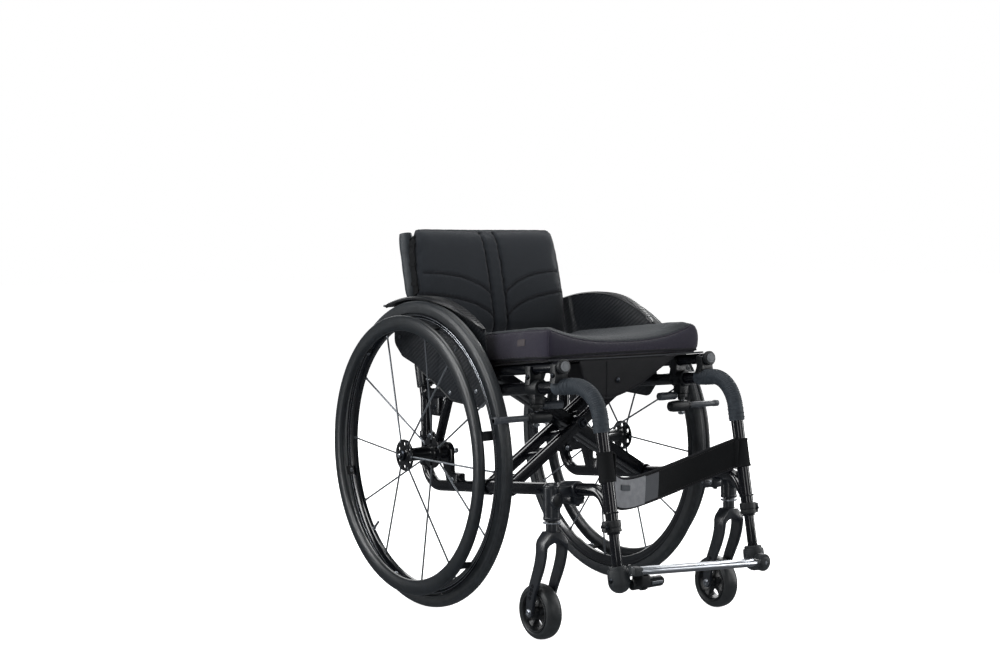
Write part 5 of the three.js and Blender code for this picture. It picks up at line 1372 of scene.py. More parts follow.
def castorHubShape():
    z = castorSizes
    shape = Shape(mouldedPlastic)
    half, r = z["halfWidth"], z["rimRadius"] - 0.3
    addTurned(shape, eased(bothSides([(-half, r), (-half, r - 3.2), (-half + 4, r - 5)]), 0.8), segments=72,
              ring=True)
    h = z["hubHalf"]
    addTurned(shape, eased(bothSides([(-h, 4.3), (-h, 9), (-h + 2, z["hubRadius"])]), 0.8), segments=40,
              ring=True)
    spoke = Shape(mouldedPlastic)
    rings = []
    for radius, wide, thick in ((8.5, 7.5, 8.5), (12, 5.2, 6.6), (18, 3.8, 5.2), (24, 3.8, 5.2), (29, 5.4, 6.6),
                                (32.2, 8.6, 9.0)):
        rings.append([(x, y, radius) for x, y in eased(oblong(thick, wide), 1.6)])
    spoke.addRings(rings)
    addTurns(shape, spoke, z["spokes"])
    shape.use(darkSteel)
    for side in (-1, 1):
        addTurned(shape, band(h - 1, h + 0.25, 4.4, 7.6), (0, 0, 0), (side, 0, 0), 28, ring=True)
    return shape.moved(Matrix.Translation((castorX, castorY + z["trail"], z["radius"])))


placePairs(
    ("{}_castor_bracket", castorClampShape, "{}_side", "{}_castor_clamp", "frame_paint"),
    ("{}_castor_bearing", castorHousingShape, "{}_side", "{}_castor_housing", "frame_paint"),
    ("{}_fork", castorForkShape, "{}_swivel", "{}_castor_fork", "frame_paint"),
    ("{}_castor_rubber", castorTyreShape, "{}_castor", "{}_castor_tyre", "tyre"),
    ("{}_castor_core", castorHubShape, "{}_castor", "{}_castor_hub", "dark_plastic"))

print("wheel locks")
brakeSizes = {
    "y": -300, "length": 34, "radius": 15.6, "pivotX": 176, "leverHeight": 412, "leverTipX": 116, "disc": 11.7,
    "thickness": 7, "shoeHeight": 391, "rod": 6, "shoeTipX": 272, "bodyInnerX": 143, "bodyOuterX": 192,
    "stepHeight": 402.8, "boltLow": 374, "boltHigh": 408, "nutLow": 375.2, "gripEnd": 162, "ribPitch": 3.2,
}


def brakeMountShape():
    z = brakeSizes
    shape = Shape(mouldedPlastic)
    path = [vec(half, y, upperZ(y)) for y in (z["y"] - z["length"] / 2, z["y"] + z["length"] / 2)]
    addBar(shape, path, z["radius"], 40, edge=1.6)
    addBlock(shape, (half - 11, z["y"] - 10, z["leverHeight"] + 4), (half + 11, z["y"] + 10, upperZ(z["y"])),
             1.5)
    for height, radius, tall in ((z["leverHeight"] + 4, z["disc"], 8), (z["stepHeight"], 7, 5.4)):
        addTurned(shape, eased(band(height, height + tall, 0, radius), 0.8, closed=False),
                  (z["pivotX"], z["y"], 0), "z", 32)
    shape.use(steelPlated)
    addTurned(shape, band(z["boltLow"], z["boltHigh"], 0, 4), (z["pivotX"], z["y"], 0), "z", 16)
    nut = z["nutLow"]
    addTurned(shape, [(nut, 0), (nut, 6.4), (nut + 0.8, 7), (nut + 3.4, 7), (nut + 4, 6.4), (nut + 4, 0)],
              (z["pivotX"], z["y"], 0), "z", 6)
    for y in (-11, 11):
        addBolt(shape, (half - z["radius"] + 1, z["y"] + y, upperZ(z["y"] + y) - 5), (-1, 0, 0), 3.4, 3)
    return shape


def brakeLeverShape():
    z = brakeSizes
    shape = Shape(mouldedPlastic)
    low, high = z["leverHeight"] - z["thickness"] / 2, z["leverHeight"] + z["thickness"] / 2
    addTurned(shape, eased(band(low, high, 4.4, 12), 0.8), (z["pivotX"], z["y"], 0), "z", 36, ring=True)
    at = lambda x: (x, z["y"], z["leverHeight"])
    addBar(shape, [at(z["pivotX"] - 8), at(z["gripEnd"] - 1)], 3.4, 18, edge=0)
    stops = [(z["leverTipX"], 5.5), (z["leverTipX"] + 2.5, 7.6), (z["leverTipX"] + 12, 8),
             (z["leverTipX"] + 34, 7.0), (z["gripEnd"], 6.4)]
    shape.use(rodCoat)
    addBar(shape, [at(x) for x, _ in stops], [r for _, r in stops], 28, edge=1.2)
    addRibs(shape, [at(z["leverTipX"] + 9), at(z["gripEnd"] - 4)], z["ribPitch"], 7.0, 0.75, rodCoat)
    return shape


def brakeShoeShape():
    z = brakeSizes
    shape = Shape(mouldedPlastic)
    at = lambda x: (x, z["y"], z["shoeHeight"])
    body = [(z["bodyInnerX"], 6), (z["bodyInnerX"] + 4, 9.6), (z["bodyInnerX"] + 12, 11),
            (z["pivotX"] - 6, 11.4), (z["bodyOuterX"] - 6, 11.2), (z["bodyOuterX"], 8)]
    addBar(shape, [at(x) for x, _ in body], [r for _, r in body], 32, edge=1.5)
    shape.use(rodCoat)
    addBar(shape, [at(z["bodyOuterX"] - 3), at(z["shoeTipX"])], z["rod"] - 0.1, 28, edge=1.5)
    addBar(shape, [at(z["shoeTipX"] - 13), at(z["shoeTipX"])], z["rod"] + 0.5, 28, edge=1.5)
    shape.use(mouldedPlastic)
    addTurned(shape, [(0, 5.5), (0, 8.2), (3, 8.2), (4, 7.4), (4, 5.5)], at(z["bodyOuterX"]), "x", 28,
              ring=True)
    return shape


placePairs(
    ("{}_lock_bracket", brakeMountShape, "{}_side", "{}_brake_mount", "dark_plastic"),
    ("{}_lock_lever", brakeLeverShape, "{}_lever", "{}_brake_lever", "dark_plastic"),
    ("{}_lock_bar", brakeShoeShape, "{}_shoe", "{}_brake_shoe", "dark_plastic"))

print("back canes and guards")
backSizes = {"radius": 11, "top": 722, "low": 444.3, "clampLow": 423, "clampHigh": 470, "clampRadius": 15.6,
             "clampBore": 11.8, "bolts": (0.25, 0.75)}


def caneShape():
    z = backSizes
    shape = Shape(frameGloss)
    addBar(shape, finer([backPoint(z["low"]), backPoint(z["top"])], 60), z["radius"], 32, edge=0.6)
    shape.use(mouldedPlastic)
    addTurned(shape, [(0, 0), (0, 8), (4, 8), (5.4, 7), (6, 5), (6, 0)], backPoint(z["top"]),
              backPoint(700) - backPoint(600), 28)
    return shape


def caneClampShape():
    z = backSizes
    shape = Shape(satinBlack)
    low, high = backPoint(z["clampLow"]), backPoint(z["clampHigh"])
    way, long = unit(high - low), np.linalg.norm(high - low)
    ahead = unit(np.cross(way, (1, 0, 0)))
    addTurned(shape, eased(band(0, long, z["clampBore"], z["clampRadius"]), 1.6), low, way, 44, ring=True)
    ahead = ahead if ahead[1] < 0 else -ahead
    addPlate(shape, eased(rectangle(-14, 2, 14, long - 2), 3), 8, z["clampRadius"] + 3.5, low,
             ((1, 0, 0), way, ahead), 1.6)
    for share in z["bolts"]:
        at = low + way * long * share
        shape.use(steelPlated)
        addPlate(shape, eased(oblong(9, 3.2), 3), z["clampRadius"] + 3, z["clampRadius"] + 5.4, at,
                 ((1, 0, 0), way, ahead), 0.6)
        addBolt(shape, at + ahead * (z["clampRadius"] + 5), ahead, 4.2, 4.5, look=steelPlated)
        shape.use(satinBlack)
    return shape


guardSizes = {
    "x": 203, "thickness": 3.5, "arcRise": 6, "rear": 63, "front": 126, "tipRise": 20, "swell": 0.5,
    "low": ((-196, 430), (-170, 399), (-65, 405)), "rise": ((-80, -116), (-29, -101), (1, -75)), "boss": 7,
    "bosses": (-150, -60), "bossInnerX": 186.8, "bossOuterX": 204, "narrowFrom": 98, "narrowBy": 0.72,
    "narrowPower": 1.3, "ribs": 44, "screws": ((-22, -62), (-14, -42)),
}


def heading(angle): return vec(math.cos(math.radians(angle)), math.sin(math.radians(angle)))


def guardArc(angle):
    z = guardSizes
    fall = min(1, (angle - z["rear"]) / ((z["front"] - z["rear"]) * z["swell"]))
    radius = wheelSizes["radius"] + z["arcRise"] + (z["tipRise"] - z["arcRise"]) * (1 - fall) ** 2
    return vec(0, axleZ) + radius * heading(angle)


def flangeShare(angle):
    z = guardSizes
    past = max(0, (angle - z["narrowFrom"]) / (z["front"] - z["narrowFrom"]))
    return 1 - z["narrowBy"] * past ** z["narrowPower"]


def flangePoint(angle, out, lift):
    return guardSizes["x"] + out, *(guardArc(angle) + heading(angle) * lift)


def guardShape():
    z = guardSizes
    shape = Shape(guardWeave)
    arc = [guardArc(a) for a in np.linspace(z["rear"], z["front"], 40)]
    tip = arc[0]
    low = [vec(*p) for p in z["low"]] + [tip + vec(*step) for step in z["rise"]]
    outline = np.array([*arc, *eased([arc[-1] + vec(0, -1), *low, tip + vec(0, -1)], 22, closed=False,
                                     steps=6)[1:-1]])
    addPlate(shape, outline, z["x"], z["x"] + z["thickness"], edge=1.2)
    # the flange over the tyre: a little crowned, with a bead along its outer edge, narrower towards its front
    shape.use(satinBlack)
    section = [(0, -0.3), (0, 1.4), (3, 3.3), (16, 4.0), (29, 3.3), (32, 1.6), (32, -2.4), (30.4, -2.4),
               (30, 0.2), (26, 0.6), (4, 0.6)]
    rings = []
    for angle in np.linspace(z["rear"] + 0.3, z["front"] - 0.3, 64):
        end = min(1, min(angle - z["rear"], z["front"] - angle) / 3.5)
        trim = (1 - 0.42 * (1 - math.sqrt(max(0, 1 - (1 - end) ** 2)))) * flangeShare(angle)
        rings.append([flangePoint(angle, w * trim, h - 1.6) for w, h in section])
    shape.addRings(rings)
    for angle in np.linspace(z["rear"] + 4, z["front"] - 4, z["ribs"]):  # fine ribs across the flange
        line = [flangePoint(angle, w * flangeShare(angle), h) for w, h in ((3, 1.7), (16, 2.4), (29, 1.7))]
        addBar(shape, line, 0.7, 6, up=(0, *heading(angle)), edge=0)
    shape.use(capPlastic)  # the light rounded end at the rear
    at, way = guardArc(z["rear"] + 1.2), heading(z["rear"])
    along = vec(way[1], -way[0])
    bows = ((2, 3.0), (9, 5.0), (16, 5.8), (23, 5.0), (30, 3.0))
    addBar(shape, [(z["x"] + w, *(at + way * 1.2 + along * bow)) for w, bow in bows], 2.4, 12, edge=1.0)
    line = [vec(z["x"] + z["thickness"] - 0.2, y, height)
            for y, height in ((-158, 404), (-110, 405), (-62, 409), (-10, 436), (50, 461))]
    shape.use(satinBlack)  # the line low on the panel
    addBar(shape, finer(line, 12), 1.5, 8, edge=0.5)
    for y in z["bosses"]:
        addTurned(shape, eased(band(z["bossInnerX"], z["bossOuterX"], 0, z["boss"]), 0.8, closed=False),
                  (0, y, upperZ(y)), "x", 28)
        addBolt(shape, (z["x"] + z["thickness"], y, upperZ(y)), (1, 0, 0), 3.6, 2.6, 12, steelPlated)
    for step in z["screws"]:
        addBolt(shape, (z["x"] + z["thickness"], *(tip + vec(*step))), (1, 0, 0), 3.0, 2.0, 12, steelPlated)
    return shape


placePairs(
    ("{}_cane", caneShape, "{}_side", "{}_back_tube", "frame_paint"),
    ("{}_cane_clamp", caneClampShape, "{}_side", "{}_back_clamp", "dark_plastic"),
    ("{}_clothing_guard", guardShape, "{}_side", "{}_sideguard", "dark_plastic"))

print("cross brace")
braceSizes = {
    "y": -176, "ringRadius": 15.6, "ringBore": 12.0, "headRadius": 10, "head": 5, "ladderHalf": 46, "rail": 20,
    "height": 18, "rungs": 3, "rungWidth": 7, "rungHalf": 4.4, "rungStep": 69.2, "beamHalf": 21,
    "beamHeight": 24, "boss": 14, "end": 34, "beamInset": 13.75, "hookRadius": 15.2, "hookBore": 10.5,
    "screwOut": 14.9,
}
atBrace = (Matrix.Translation((0, braceSizes["y"], lowerZ(braceSizes["y"])))
           @ Matrix.Rotation(-math.radians(chair["slope"]), 4, "X"))
rise = chair["railRise"]
armAngle, armLength = math.atan2(rise, 2 * half), math.hypot(rise, 2 * half)


# A beam of the brace in the arm's own frame: a flat bar with a groove along each broad face.
def addBeam(shape, y0, y1, height, start, end):
    tall, groove = height / 2, min(0.24 * abs(y1 - y0), 4.5)
    middle = (y0 + y1) / 2
    section = eased([(y0, -tall), (middle - groove, -tall), (middle - groove + 1.2, -tall + 1.5),
                     (middle + groove - 1.2, -tall + 1.5), (middle + groove, -tall), (y1, -tall), (y1, tall),
                     (middle + groove, tall), (middle + groove - 1.2, tall - 1.5),
                     (middle - groove + 1.2, tall - 1.5), (middle - groove, tall), (y0, tall)], 1.5, steps=2)
    shape.addRings([[(x, y, h) for y, h in section] for x in np.linspace(start, end, 6)])
    return shape


def braceShape(ladder):
    z = braceSizes
    shape, inArm = Shape(frameGloss), Shape(frameGloss)
    start, end = z["beamInset"], armLength - z["beamInset"]
    inner = z["ladderHalf"] - z["rail"]
    if ladder:
        for side in (-1, 1):
            addBeam(inArm, *sorted((side * inner, side * z["ladderHalf"])), z["height"], start, end)
        for k in range(z["rungs"]):
            at = z["end"] + z["rungStep"] * k
            for x in (at, armLength - at):
                if abs(x - armLength / 2) > 26:
                    rung = rectangle(x - z["rungWidth"] / 2, -z["rungHalf"], x + z["rungWidth"] / 2,
                                     z["rungHalf"])
                    addPlate(inArm, eased(rung, 1.5), -inner - 1, inner + 1, axes="xzy", edge=0.5)
        spans = [(-z["ladderHalf"], -inner), (inner, z["ladderHalf"])]
    else:
        addBeam(inArm, -z["beamHalf"], z["beamHalf"], z["beamHeight"], start, end)
        spans = [(-z["beamHalf"], z["beamHalf"])]
    inArm.moved(Matrix.Translation((-half, 0, 0)) @ Matrix.Rotation(-armAngle, 4, "Y"))
    shape.join(inArm)
    for low, high in spans:
        addTurned(shape, eased(band(low, high, z["ringBore"], z["ringRadius"]), 1.2),
                  (-half, 0, 0), "y", 44, ring=True)
        # the hook is open on top, where the seat cloth lies, with the arm up or down
        turns = np.radians(np.linspace(161, 340, 30))
        hook = [(r * math.cos(t), r * math.sin(t)) for r, path in (
            (z["hookRadius"], turns), (z["hookBore"], turns[::-1])) for t in path]
        addPlate(shape, hook, low, high, (half, 0, rise), "xzy", 1.0)
        addTurned(shape, eased(band(low - 0.1, high + 0.1, 0, z["boss"]), 1.2, closed=False),
                  (0, 0, rise / 2), "y", 40)
        shape.use(steelPlated)
        for x, height, way in ((-half, 0, (0.55, 0, -1)), (half, rise, (-0.55, 0, -1))):
            side = unit(way)
            addBolt(shape, vec(x, (low + high) / 2, height) + side * z["screwOut"], side, 3.6, 3)
        shape.use(frameGloss)
    if not ladder:
        shape.points = [(-x, y, height) for x, y, height in shape.points]
        shape.faces = [face[::-1] for face in shape.faces]
    return shape.moved(atBrace)


def braceBoltShape():
    z = braceSizes
    shape = Shape(steelPlated)
    end = z["ladderHalf"] + 0.6
    addBar(shape, [(0, -end, rise / 2), (0, end, rise / 2)], 5.9, 20)
    for side in (-1, 1):
        addBolt(shape, (0, side * end, rise / 2), (0, side, 0), z["headRadius"] - 1.5, z["head"] + 2)
    return shape.moved(atBrace)


place("brace_ladder", braceShape(True), "arm_a", "brace_arm_a", "frame_paint")
place("brace_pivot", braceBoltShape(), "arm_a", "brace_bolt", "steel")
place("brace_beam", braceShape(False), "arm_b", "brace_arm_b", "frame_paint")

print("seat cloth and pouch")


# A smooth surface through six grids over a block, each point of -1 to 1 put in place by where().
def addSoftBlock(shape, where, counts):
    nx, ny, nz = counts
    for first, second, third, n, m in ((0, 1, 2, nx, ny), (0, 2, 1, nx, nz), (1, 2, 0, ny, nz)):
        for end in (-1, 1):
            points, faces = [], []
            for i in range(n + 1):
                for k in range(m + 1):
                    at = [0, 0, 0]
                    at[first], at[second], at[third] = 2 * i / n - 1, 2 * k / m - 1, end
                    points.append(where(*at))
            for i in range(n):
                for k in range(m):
                    a = i * (m + 1) + k
                    face = (a, a + 1, a + m + 2, a + m + 1)
                    faces.append(face if (end > 0) != (first == 0 and second == 2) else face[::-1])
            shape.add(points, faces)
    return shape


# A cloth of even thickness on a grid of points, rounded along its border.
def addCloth(shape, grid, thickness, look=None):
    grid = np.asarray(grid, float)
    across, along = np.gradient(grid, axis=0), np.gradient(grid, axis=1)
    normal = np.cross(across, along)
    normal /= np.maximum(np.linalg.norm(normal, axis=2, keepdims=True), 1e-9)
    n, m = grid.shape[:2]
    layers = [grid + normal * thickness / 2, grid - normal * thickness / 2]
    faces = []
    for side in (0, 1):
        for i in range(n - 1):
            for k in range(m - 1):
                a = side * n * m + i * m + k
                face = (a, a + 1, a + m + 1, a + m)
                faces.append(face[::-1] if side == 0 else face)
    border = [*range(0, n * m, m), *range((n - 1) * m + 1, n * m), *range((n - 1) * m - 1, m - 2, -m),
              *range(m - 2, 0, -1)]
    for a, b in zip(border, border[1:] + border[:1]):
        faces.append((a, b, b + n * m, a + n * m))
    return shape.add(np.concatenate([layer.reshape(-1, 3) for layer in layers]), faces, look)


slingSizes = {
    "half": 175, "wrap": 12, "above": 11.8, "thickness": 2.2, "front": -352, "rear": 22, "hemWidth": 9,
    "sag": 1.2,
}


def slingPoint(across, y, lift=0.0):
    z = slingSizes
    height = railZ(y) + (z["above"] + lift) / cosSlope
    return vec(across, y, height - z["sag"] * max(0, 1 - (across / z["half"]) ** 2))


def slingShape():
    z = slingSizes
    shape = Shape(slingCloth)
    half = z["half"] + z["wrap"]
    stops = np.concatenate([[-half, -half + 4, -half + 8], np.linspace(-z["half"], z["half"], 45),
                            [half - 8, half - 4, half]])
    addCloth(shape, [[slingPoint(x, y) for y in np.linspace(z["front"], z["rear"], 46)] for x in stops],
             z["thickness"])
    return shape


def slingHemShape():
    z = slingSizes
    shape = Shape(backEdge)
    half = z["half"] + z["wrap"] - 0.5
    stops = np.concatenate([np.linspace(-half, -z["half"], 5), np.linspace(-z["half"], z["half"], 30)[1:-1],
                            np.linspace(z["half"], half, 5)])
    for y, radius in ((z["front"] + 1.2, 1.5), (z["front"] + z["hemWidth"], 0.9)):
        addBar(shape, [slingPoint(x, y, 0.6) for x in stops], radius, 8, up=(0, 1, 0), edge=0.4)
    line = [slingPoint(x, z["front"] + 5, z["thickness"] / 2) for x in stops]
    addStitches(shape, line, 3.2, 2.3, 0.6, labelCloth)
    return shape


pouchSizes = {
    "half": 116, "front": -351.7, "length": 98, "depth": 72, "rearShare": 0.75, "rear": 1.5,
    "turns": (0.36, 0.92), "thickness": 1.8,
    "hang": ((-1, -0.9, -0.75, -0.6, -0.45, -0.3, -0.1, 0.1, 0.3, 0.5, 0.7, 0.9, 1),
             (0.05, 0.45, 0.78, 0.97, 1.02, 1.0, 0.91, 0.8, 0.65, 0.46, 0.26, 0.08, 0.0)),
}


def pouchPoint(x, t):
    z = pouchSizes
    fall = z["depth"] * float(np.interp(x, *z["hang"])) + 1.2
    stops = [0, *z["turns"], 1]
    if t < stops[1]:
        along, drop = 0, fall * t / stops[1]
    elif t < stops[2]:
        back = (t - stops[1]) / (stops[2] - stops[1])
        along, drop = back, fall * (1 - z["rearShare"] * back ** z["rear"])
    else:
        along, drop = 1, fall * (1 - z["rearShare"]) * (stops[3] - t) / (stops[3] - stops[2])
    y = z["front"] + z["length"] * along
    return vec(z["half"] * x, y, slingPoint(z["half"] * x, y)[2] - slingSizes["thickness"] / 2
               - z["thickness"] / 2 - drop)


def pouchShape():
    z = pouchSizes
    grid = np.array([[pouchPoint(x, t) for t in np.linspace(0, 1, 61)]
                     for x in np.sin(np.linspace(-1, 1, 41) * math.pi / 2)])
    for _ in range(10):  # the cloth rounds over its corners
        grid[:, 1:-1] = grid[:, 1:-1] * 0.5 + (grid[:, :-2] + grid[:, 2:]) * 0.25
    wave = np.array([[math.sin(i * 0.7 + k * 0.25) * math.sin(k * 0.16) for k in range(61)] for i in range(41)])
    grid[:, :, 1] += 0.7 * wave
    shape = Shape(pouchCloth)
    return addCloth(shape, grid, z["thickness"]), grid


pouch, pouchGrid = pouchShape()
pouchTrim = Shape(pipingCloth)
addBar(pouchTrim, pouchGrid[14, 1:24] + vec(0, -1.3, 0), 0.8, 8, edge=0.3)
addBar(pouchTrim, pouchGrid[4:-4, 21] + vec(0, -1.2, -0.8), 1.3, 8, edge=0.4)
pouchTrim.use(darkSteel)
addTurned(pouchTrim, [(-1.5, 0), (-1.5, 5), (1.4, 5), (2.4, 3.6), (2.8, 0)],
          pouchGrid[17, 12] + vec(0, -0.8, 0), (0, -1, 0), 20)
seatCloth = place("seat_cloth", slingShape(), "seat", "seat_sling", "cloth")
seatHem = place("seat_hem", slingHemShape(), "seat", "seat_sling", "cloth")
seatPouch = place("seat_pouch", pouch, "seat", "seat_sling", "cloth")
pouchBits = place("pouch_trim", pouchTrim, "seat", "seat_sling", "cloth")

print("cushion and backrest")


# Padded cloth: remeshed, blown up a little by Blender's Cloth, and held to a few mm of travel.
def plumped(name, shape, voxel, cap, pressure=4.0):
    soft = added(name + "Soft", shape.mesh(name + "Start"))
    remesh = soft.modifiers.new("remesh", "REMESH")
    remesh.mode, remesh.voxel_size = "VOXEL", voxel / 1000
    soft.data = evaluated(soft)
    soft.modifiers.clear()
    before = np.array([tuple(v.co) for v in soft.data.vertices])
    cloth = soft.modifiers.new("cloth", "CLOTH")
    cloth.settings.quality = 4
    cloth.settings.use_pressure = True
    cloth.settings.uniform_pressure_force = pressure
    cloth.settings.effector_weights.gravity = 0
    lastFrame = 20
    cloth.point_cache.frame_start, cloth.point_cache.frame_end = 1, lastFrame
    for step in range(1, lastFrame + 1):
        scene.frame_set(step)
    after = np.array([tuple(v.co) for v in evaluated(soft).vertices])
    travel = after - before
    length = np.linalg.norm(travel, axis=1, keepdims=True)
    before = before + travel * np.minimum(1, cap / 1000 / np.maximum(length, 1e-9))
    soft.modifiers.clear()
    scene.frame_set(1)
    soft.data.vertices.foreach_set("co", before.ravel())
    smooth = soft.modifiers.new("smooth", "SMOOTH")
    smooth.factor, smooth.iterations = 0.5, 2
    divided = soft.modifiers.new("divided", "SUBSURF")
    divided.levels = divided.render_levels = 1
    result = shapeOf(evaluated(soft), shape.look)
    bpy.data.objects.remove(soft)
    return result


def treeOf(shape):
    return BVHTree.FromPolygons([Vector(p) for p in shape.points], shape.faces)


# The line laid onto the surface, lifted by a little.
def laidOn(tree, path, lift=0.0):
    laid = []
    for p in path:
        at, normal, _, _ = tree.find_nearest(Vector(p))
        laid.append(np.array(at + normal * lift))
    return np.array(laid)


# Draws the surface in along a line, with puckers square to the seam.
def drawnIn(shape, lines, depth, width, pucker=0.0, pitch=9.0):
    points = np.array(shape.points)
    tree = treeOf(shape)
    spacing, reach = 3.0, width * 4
    for line in lines:
        line = finer(np.asarray(line), spacing)
        low, high = line.min(0) - reach, line.max(0) + reach
        near = np.where(np.all((points > low) & (points < high), axis=1))[0]
        if not len(near):
            continue
        apart = np.linalg.norm(points[near][:, None, :] - line[None, :, :], axis=2)
        nearest, distance = apart.argmin(1), apart.min(1)
        for index, step, gap in zip(near, nearest, distance):
            if gap > reach:
                continue
            _, normal, _, _ = tree.find_nearest(Vector(points[index]))
            fall = depth * math.exp(-(gap / width) ** 2)
            beside = math.exp(-((gap - width * 1.4) / (width * 1.3)) ** 2)
            wave = pucker * math.sin(step * spacing / pitch * 2 * math.pi) * beside
            points[index] = points[index] - np.array(normal) * (fall - wave)
    shape.points = [tuple(p) for p in points]
    return shape


cushionSizes = {
    "half": 190, "front": -356, "rear": 33, "thickness": 69, "dip": 34, "sideInset": 5, "edgeRadius": 8,
    "shrink": 1.5, "flare": 0.007, "railTop": 10.3, "clearance": 3.3, "topShare": 0.30, "rearDip": 0.35,
    "lowEdge": 0.4, "corner": 0.03, "edgePower": 12, "scoop": 2.6,
}


def cornerDraw(u, v, share): return u * (1 - share * abs(v) ** 8 * abs(u))


def cushionPoint(x, y, z, smaller=0.0):
    s = cushionSizes
    deep = (s["rear"] - s["front"]) / 2
    draw = 1 - z * z * s["sideInset"] / s["half"] - z * s["flare"]
    across = cornerDraw(x, y, s["corner"]) * (s["half"] - smaller) * draw
    along = (s["front"] + s["rear"]) / 2 + cornerDraw(y, x, s["corner"]) * (deep - smaller) * draw
    edge = s["edgeRadius"] * max(abs(x), abs(y)) ** s["edgePower"]
    scoop = s["dip"] * (1 - abs(x) ** s["scoop"]) * (1 - s["rearDip"] * (y + 1) / 2)
    top, low = s["thickness"] - scoop - edge - smaller, s["lowEdge"] * edge
    height = railZ(along) + s["railTop"] / cosSlope + s["clearance"] + low + (top - low) * (z + 1) / 2
    return vec(across, along, height)


def loop(where, share, count=50):
    corners = oblong(share, share)
    path = []
    for (x0, y0), (x1, y1) in zip(corners, corners[1:] + corners[:1]):
        path += [where(x0 + (x1 - x0) * k / count, y0 + (y1 - y0) * k / count) for k in range(count)]
    return np.array(path)


def rounded(path, times=4):
    for _ in range(times):
        path = path * 0.5 + (np.roll(path, 1, axis=0) + np.roll(path, -1, axis=0)) * 0.25
    return path


def closedLine(path): return np.concatenate([path, path[:1]])


cushionStart = Shape(cushionSideCloth)
addSoftBlock(cushionStart, lambda x, y, z: cushionPoint(x, y, z, cushionSizes["shrink"]), (44, 44, 9))
cushionSoft = plumped("cushion", cushionStart, 5.5, 4.5)
surface = treeOf(cushionSoft)
topSeam = rounded(laidOn(surface, loop(lambda x, y: cushionPoint(x, y, 1) + vec(0, 0, 4), 0.975)))
lowSeam = rounded(laidOn(surface, loop(lambda x, y: cushionPoint(x, y, -1), 1.0)))
cornerSeams = [laidOn(surface, [cushionPoint(x, y, t) for t in np.linspace(-0.85, 0.85, 12)])
               for x in (-0.99, 0.99) for y in (-0.985, 0.985)]
drawnIn(cushionSoft, [closedLine(topSeam)], 1.8, 2.6, 0.5, 11)
drawnIn(cushionSoft, [closedLine(lowSeam), *cornerSeams], 1.4, 2.2, 0.35, 12)
seamTree = BVHTree.FromPolygons([Vector(p) for p in topSeam] + [Vector(topSeam.mean(0))],
                                [(i, (i + 1) % len(topSeam), len(topSeam)) for i in range(len(topSeam))])
grid = np.array(cushionSoft.points)
cushionSoft.looks = []
for face in cushionSoft.faces:
    at = grid[list(face)].mean(0)
    hit = seamTree.ray_cast(Vector((at[0], at[1], 2000)), Vector((0, 0, -1)))[0]
    upper = railZ(at[1]) + cushionSizes["railTop"] + cushionSizes["thickness"] * cushionSizes["topShare"]
    cushionSoft.looks.append(cushionTopCloth if hit is not None and at[2] > upper else cushionSideCloth)
surface = treeOf(cushionSoft)
piping = Shape(cushionSideCloth)
addBar(piping, laidOn(surface, topSeam, 0.5), 1.5, 8, closed=True)
for line in cornerSeams:
    addBar(piping, laidOn(surface, line, 0.3), 0.9, 8, edge=0.3)
piping.use(labelCloth)  # a plain patch where the cushion in the photograph has its label
patch = [laidOn(surface, [cushionPoint(-1.03, y, t) for t in np.linspace(-0.1, 0.42, 6)], 0.7)
         for y in np.linspace(-0.62, -0.49, 6)]
addCloth(piping, patch, 1.0)
piping.use(pipingCloth)
addBar(piping, laidOn(surface, lowSeam, 0.6), 1.9, 8, closed=True)
addStitches(piping, laidOn(surface, closedLine(topSeam) * vec(0.982, 1, 1) + vec(0, 0, 3), 0.15), 4.0, 2.8,
            0.55, pipingCloth)
cushionPiece = place("seat_pad", cushionSoft, "seat", "seat_cushion", "cushion_cloth", angle=60)
pipingPiece = place("seat_pad_piping", piping, "seat", "seat_cushion", "cushion_cloth")

backrestSizes = {
    "half": 183, "front": 47, "rear": 12, "low": 508, "high": 749, "edge": 15, "crown": 6, "seam": 17,
    "roll": 15.4, "swell": 0.05, "corner": 0.045, "sidePower": 10, "endPower": 8, "shrink": 2.5, "step": 0.1,
    "seamHeights": (745, 632, 516), "rollLow": 604, "rollHigh": 733, "rollBore": 11.8, "rollSeam": 15.6,
    "arcs": (((17, 608), (78, 642), (168, 653)), ((17, 562), (78, 595), (178, 609))),
}


def backrestPoint(x, y, z, smaller=0.0):
    s = backrestSizes
    height = (s["low"] + s["high"]) / 2 + ((s["high"] - s["low"]) / 2 - smaller) * y
    across = cornerDraw(x, y, s["corner"]) * (s["half"] - smaller) * (1 + s["swell"] * (1 - y * y))
    behind = min(1, max(0, (0.3 - z) / 0.7))
    across *= 1 - s["step"] * behind * behind * (3 - 2 * behind)
    edge = max(abs(x) ** s["sidePower"], abs(y) ** s["endPower"])
    front = s["front"] + s["crown"] * (1 - x * x) * (1 - y * y) - s["edge"] * edge - smaller
    reach = s["rear"] + smaller + (front - s["rear"] - smaller) * (z + 1) / 2
    return vec(across, backY(height) - reach, height)


backStart = Shape(backCloth)
addSoftBlock(backStart, lambda x, y, z: backrestPoint(x, y, z, backrestSizes["shrink"]), (44, 30, 8))
backSoft = plumped("backrest", backStart, 6.0, 5.0, 3.0)
surface = treeOf(backSoft)
onBack = lambda x, height: vec(x, backY(height) - backrestSizes["front"] - 20, height)


def frontLine(points, count=24):
    points = np.array(points, float)
    ts = np.linspace(0, 1, count)
    a, b, c = points[0], 2 * points[1] - 0.5 * (points[0] + points[2]), points[2]
    curve = [a * (1 - t) ** 2 + b * 2 * t * (1 - t) + c * t * t for t in ts]
    laid = []
    for x, height in curve:
        start = onBack(x, height)
        hit = surface.ray_cast(Vector(start), Vector((0, 1, 0)))
        laid.append(np.array(hit[0]) if hit[0] is not None else start + vec(0, 20, 0))
    return np.array(laid)


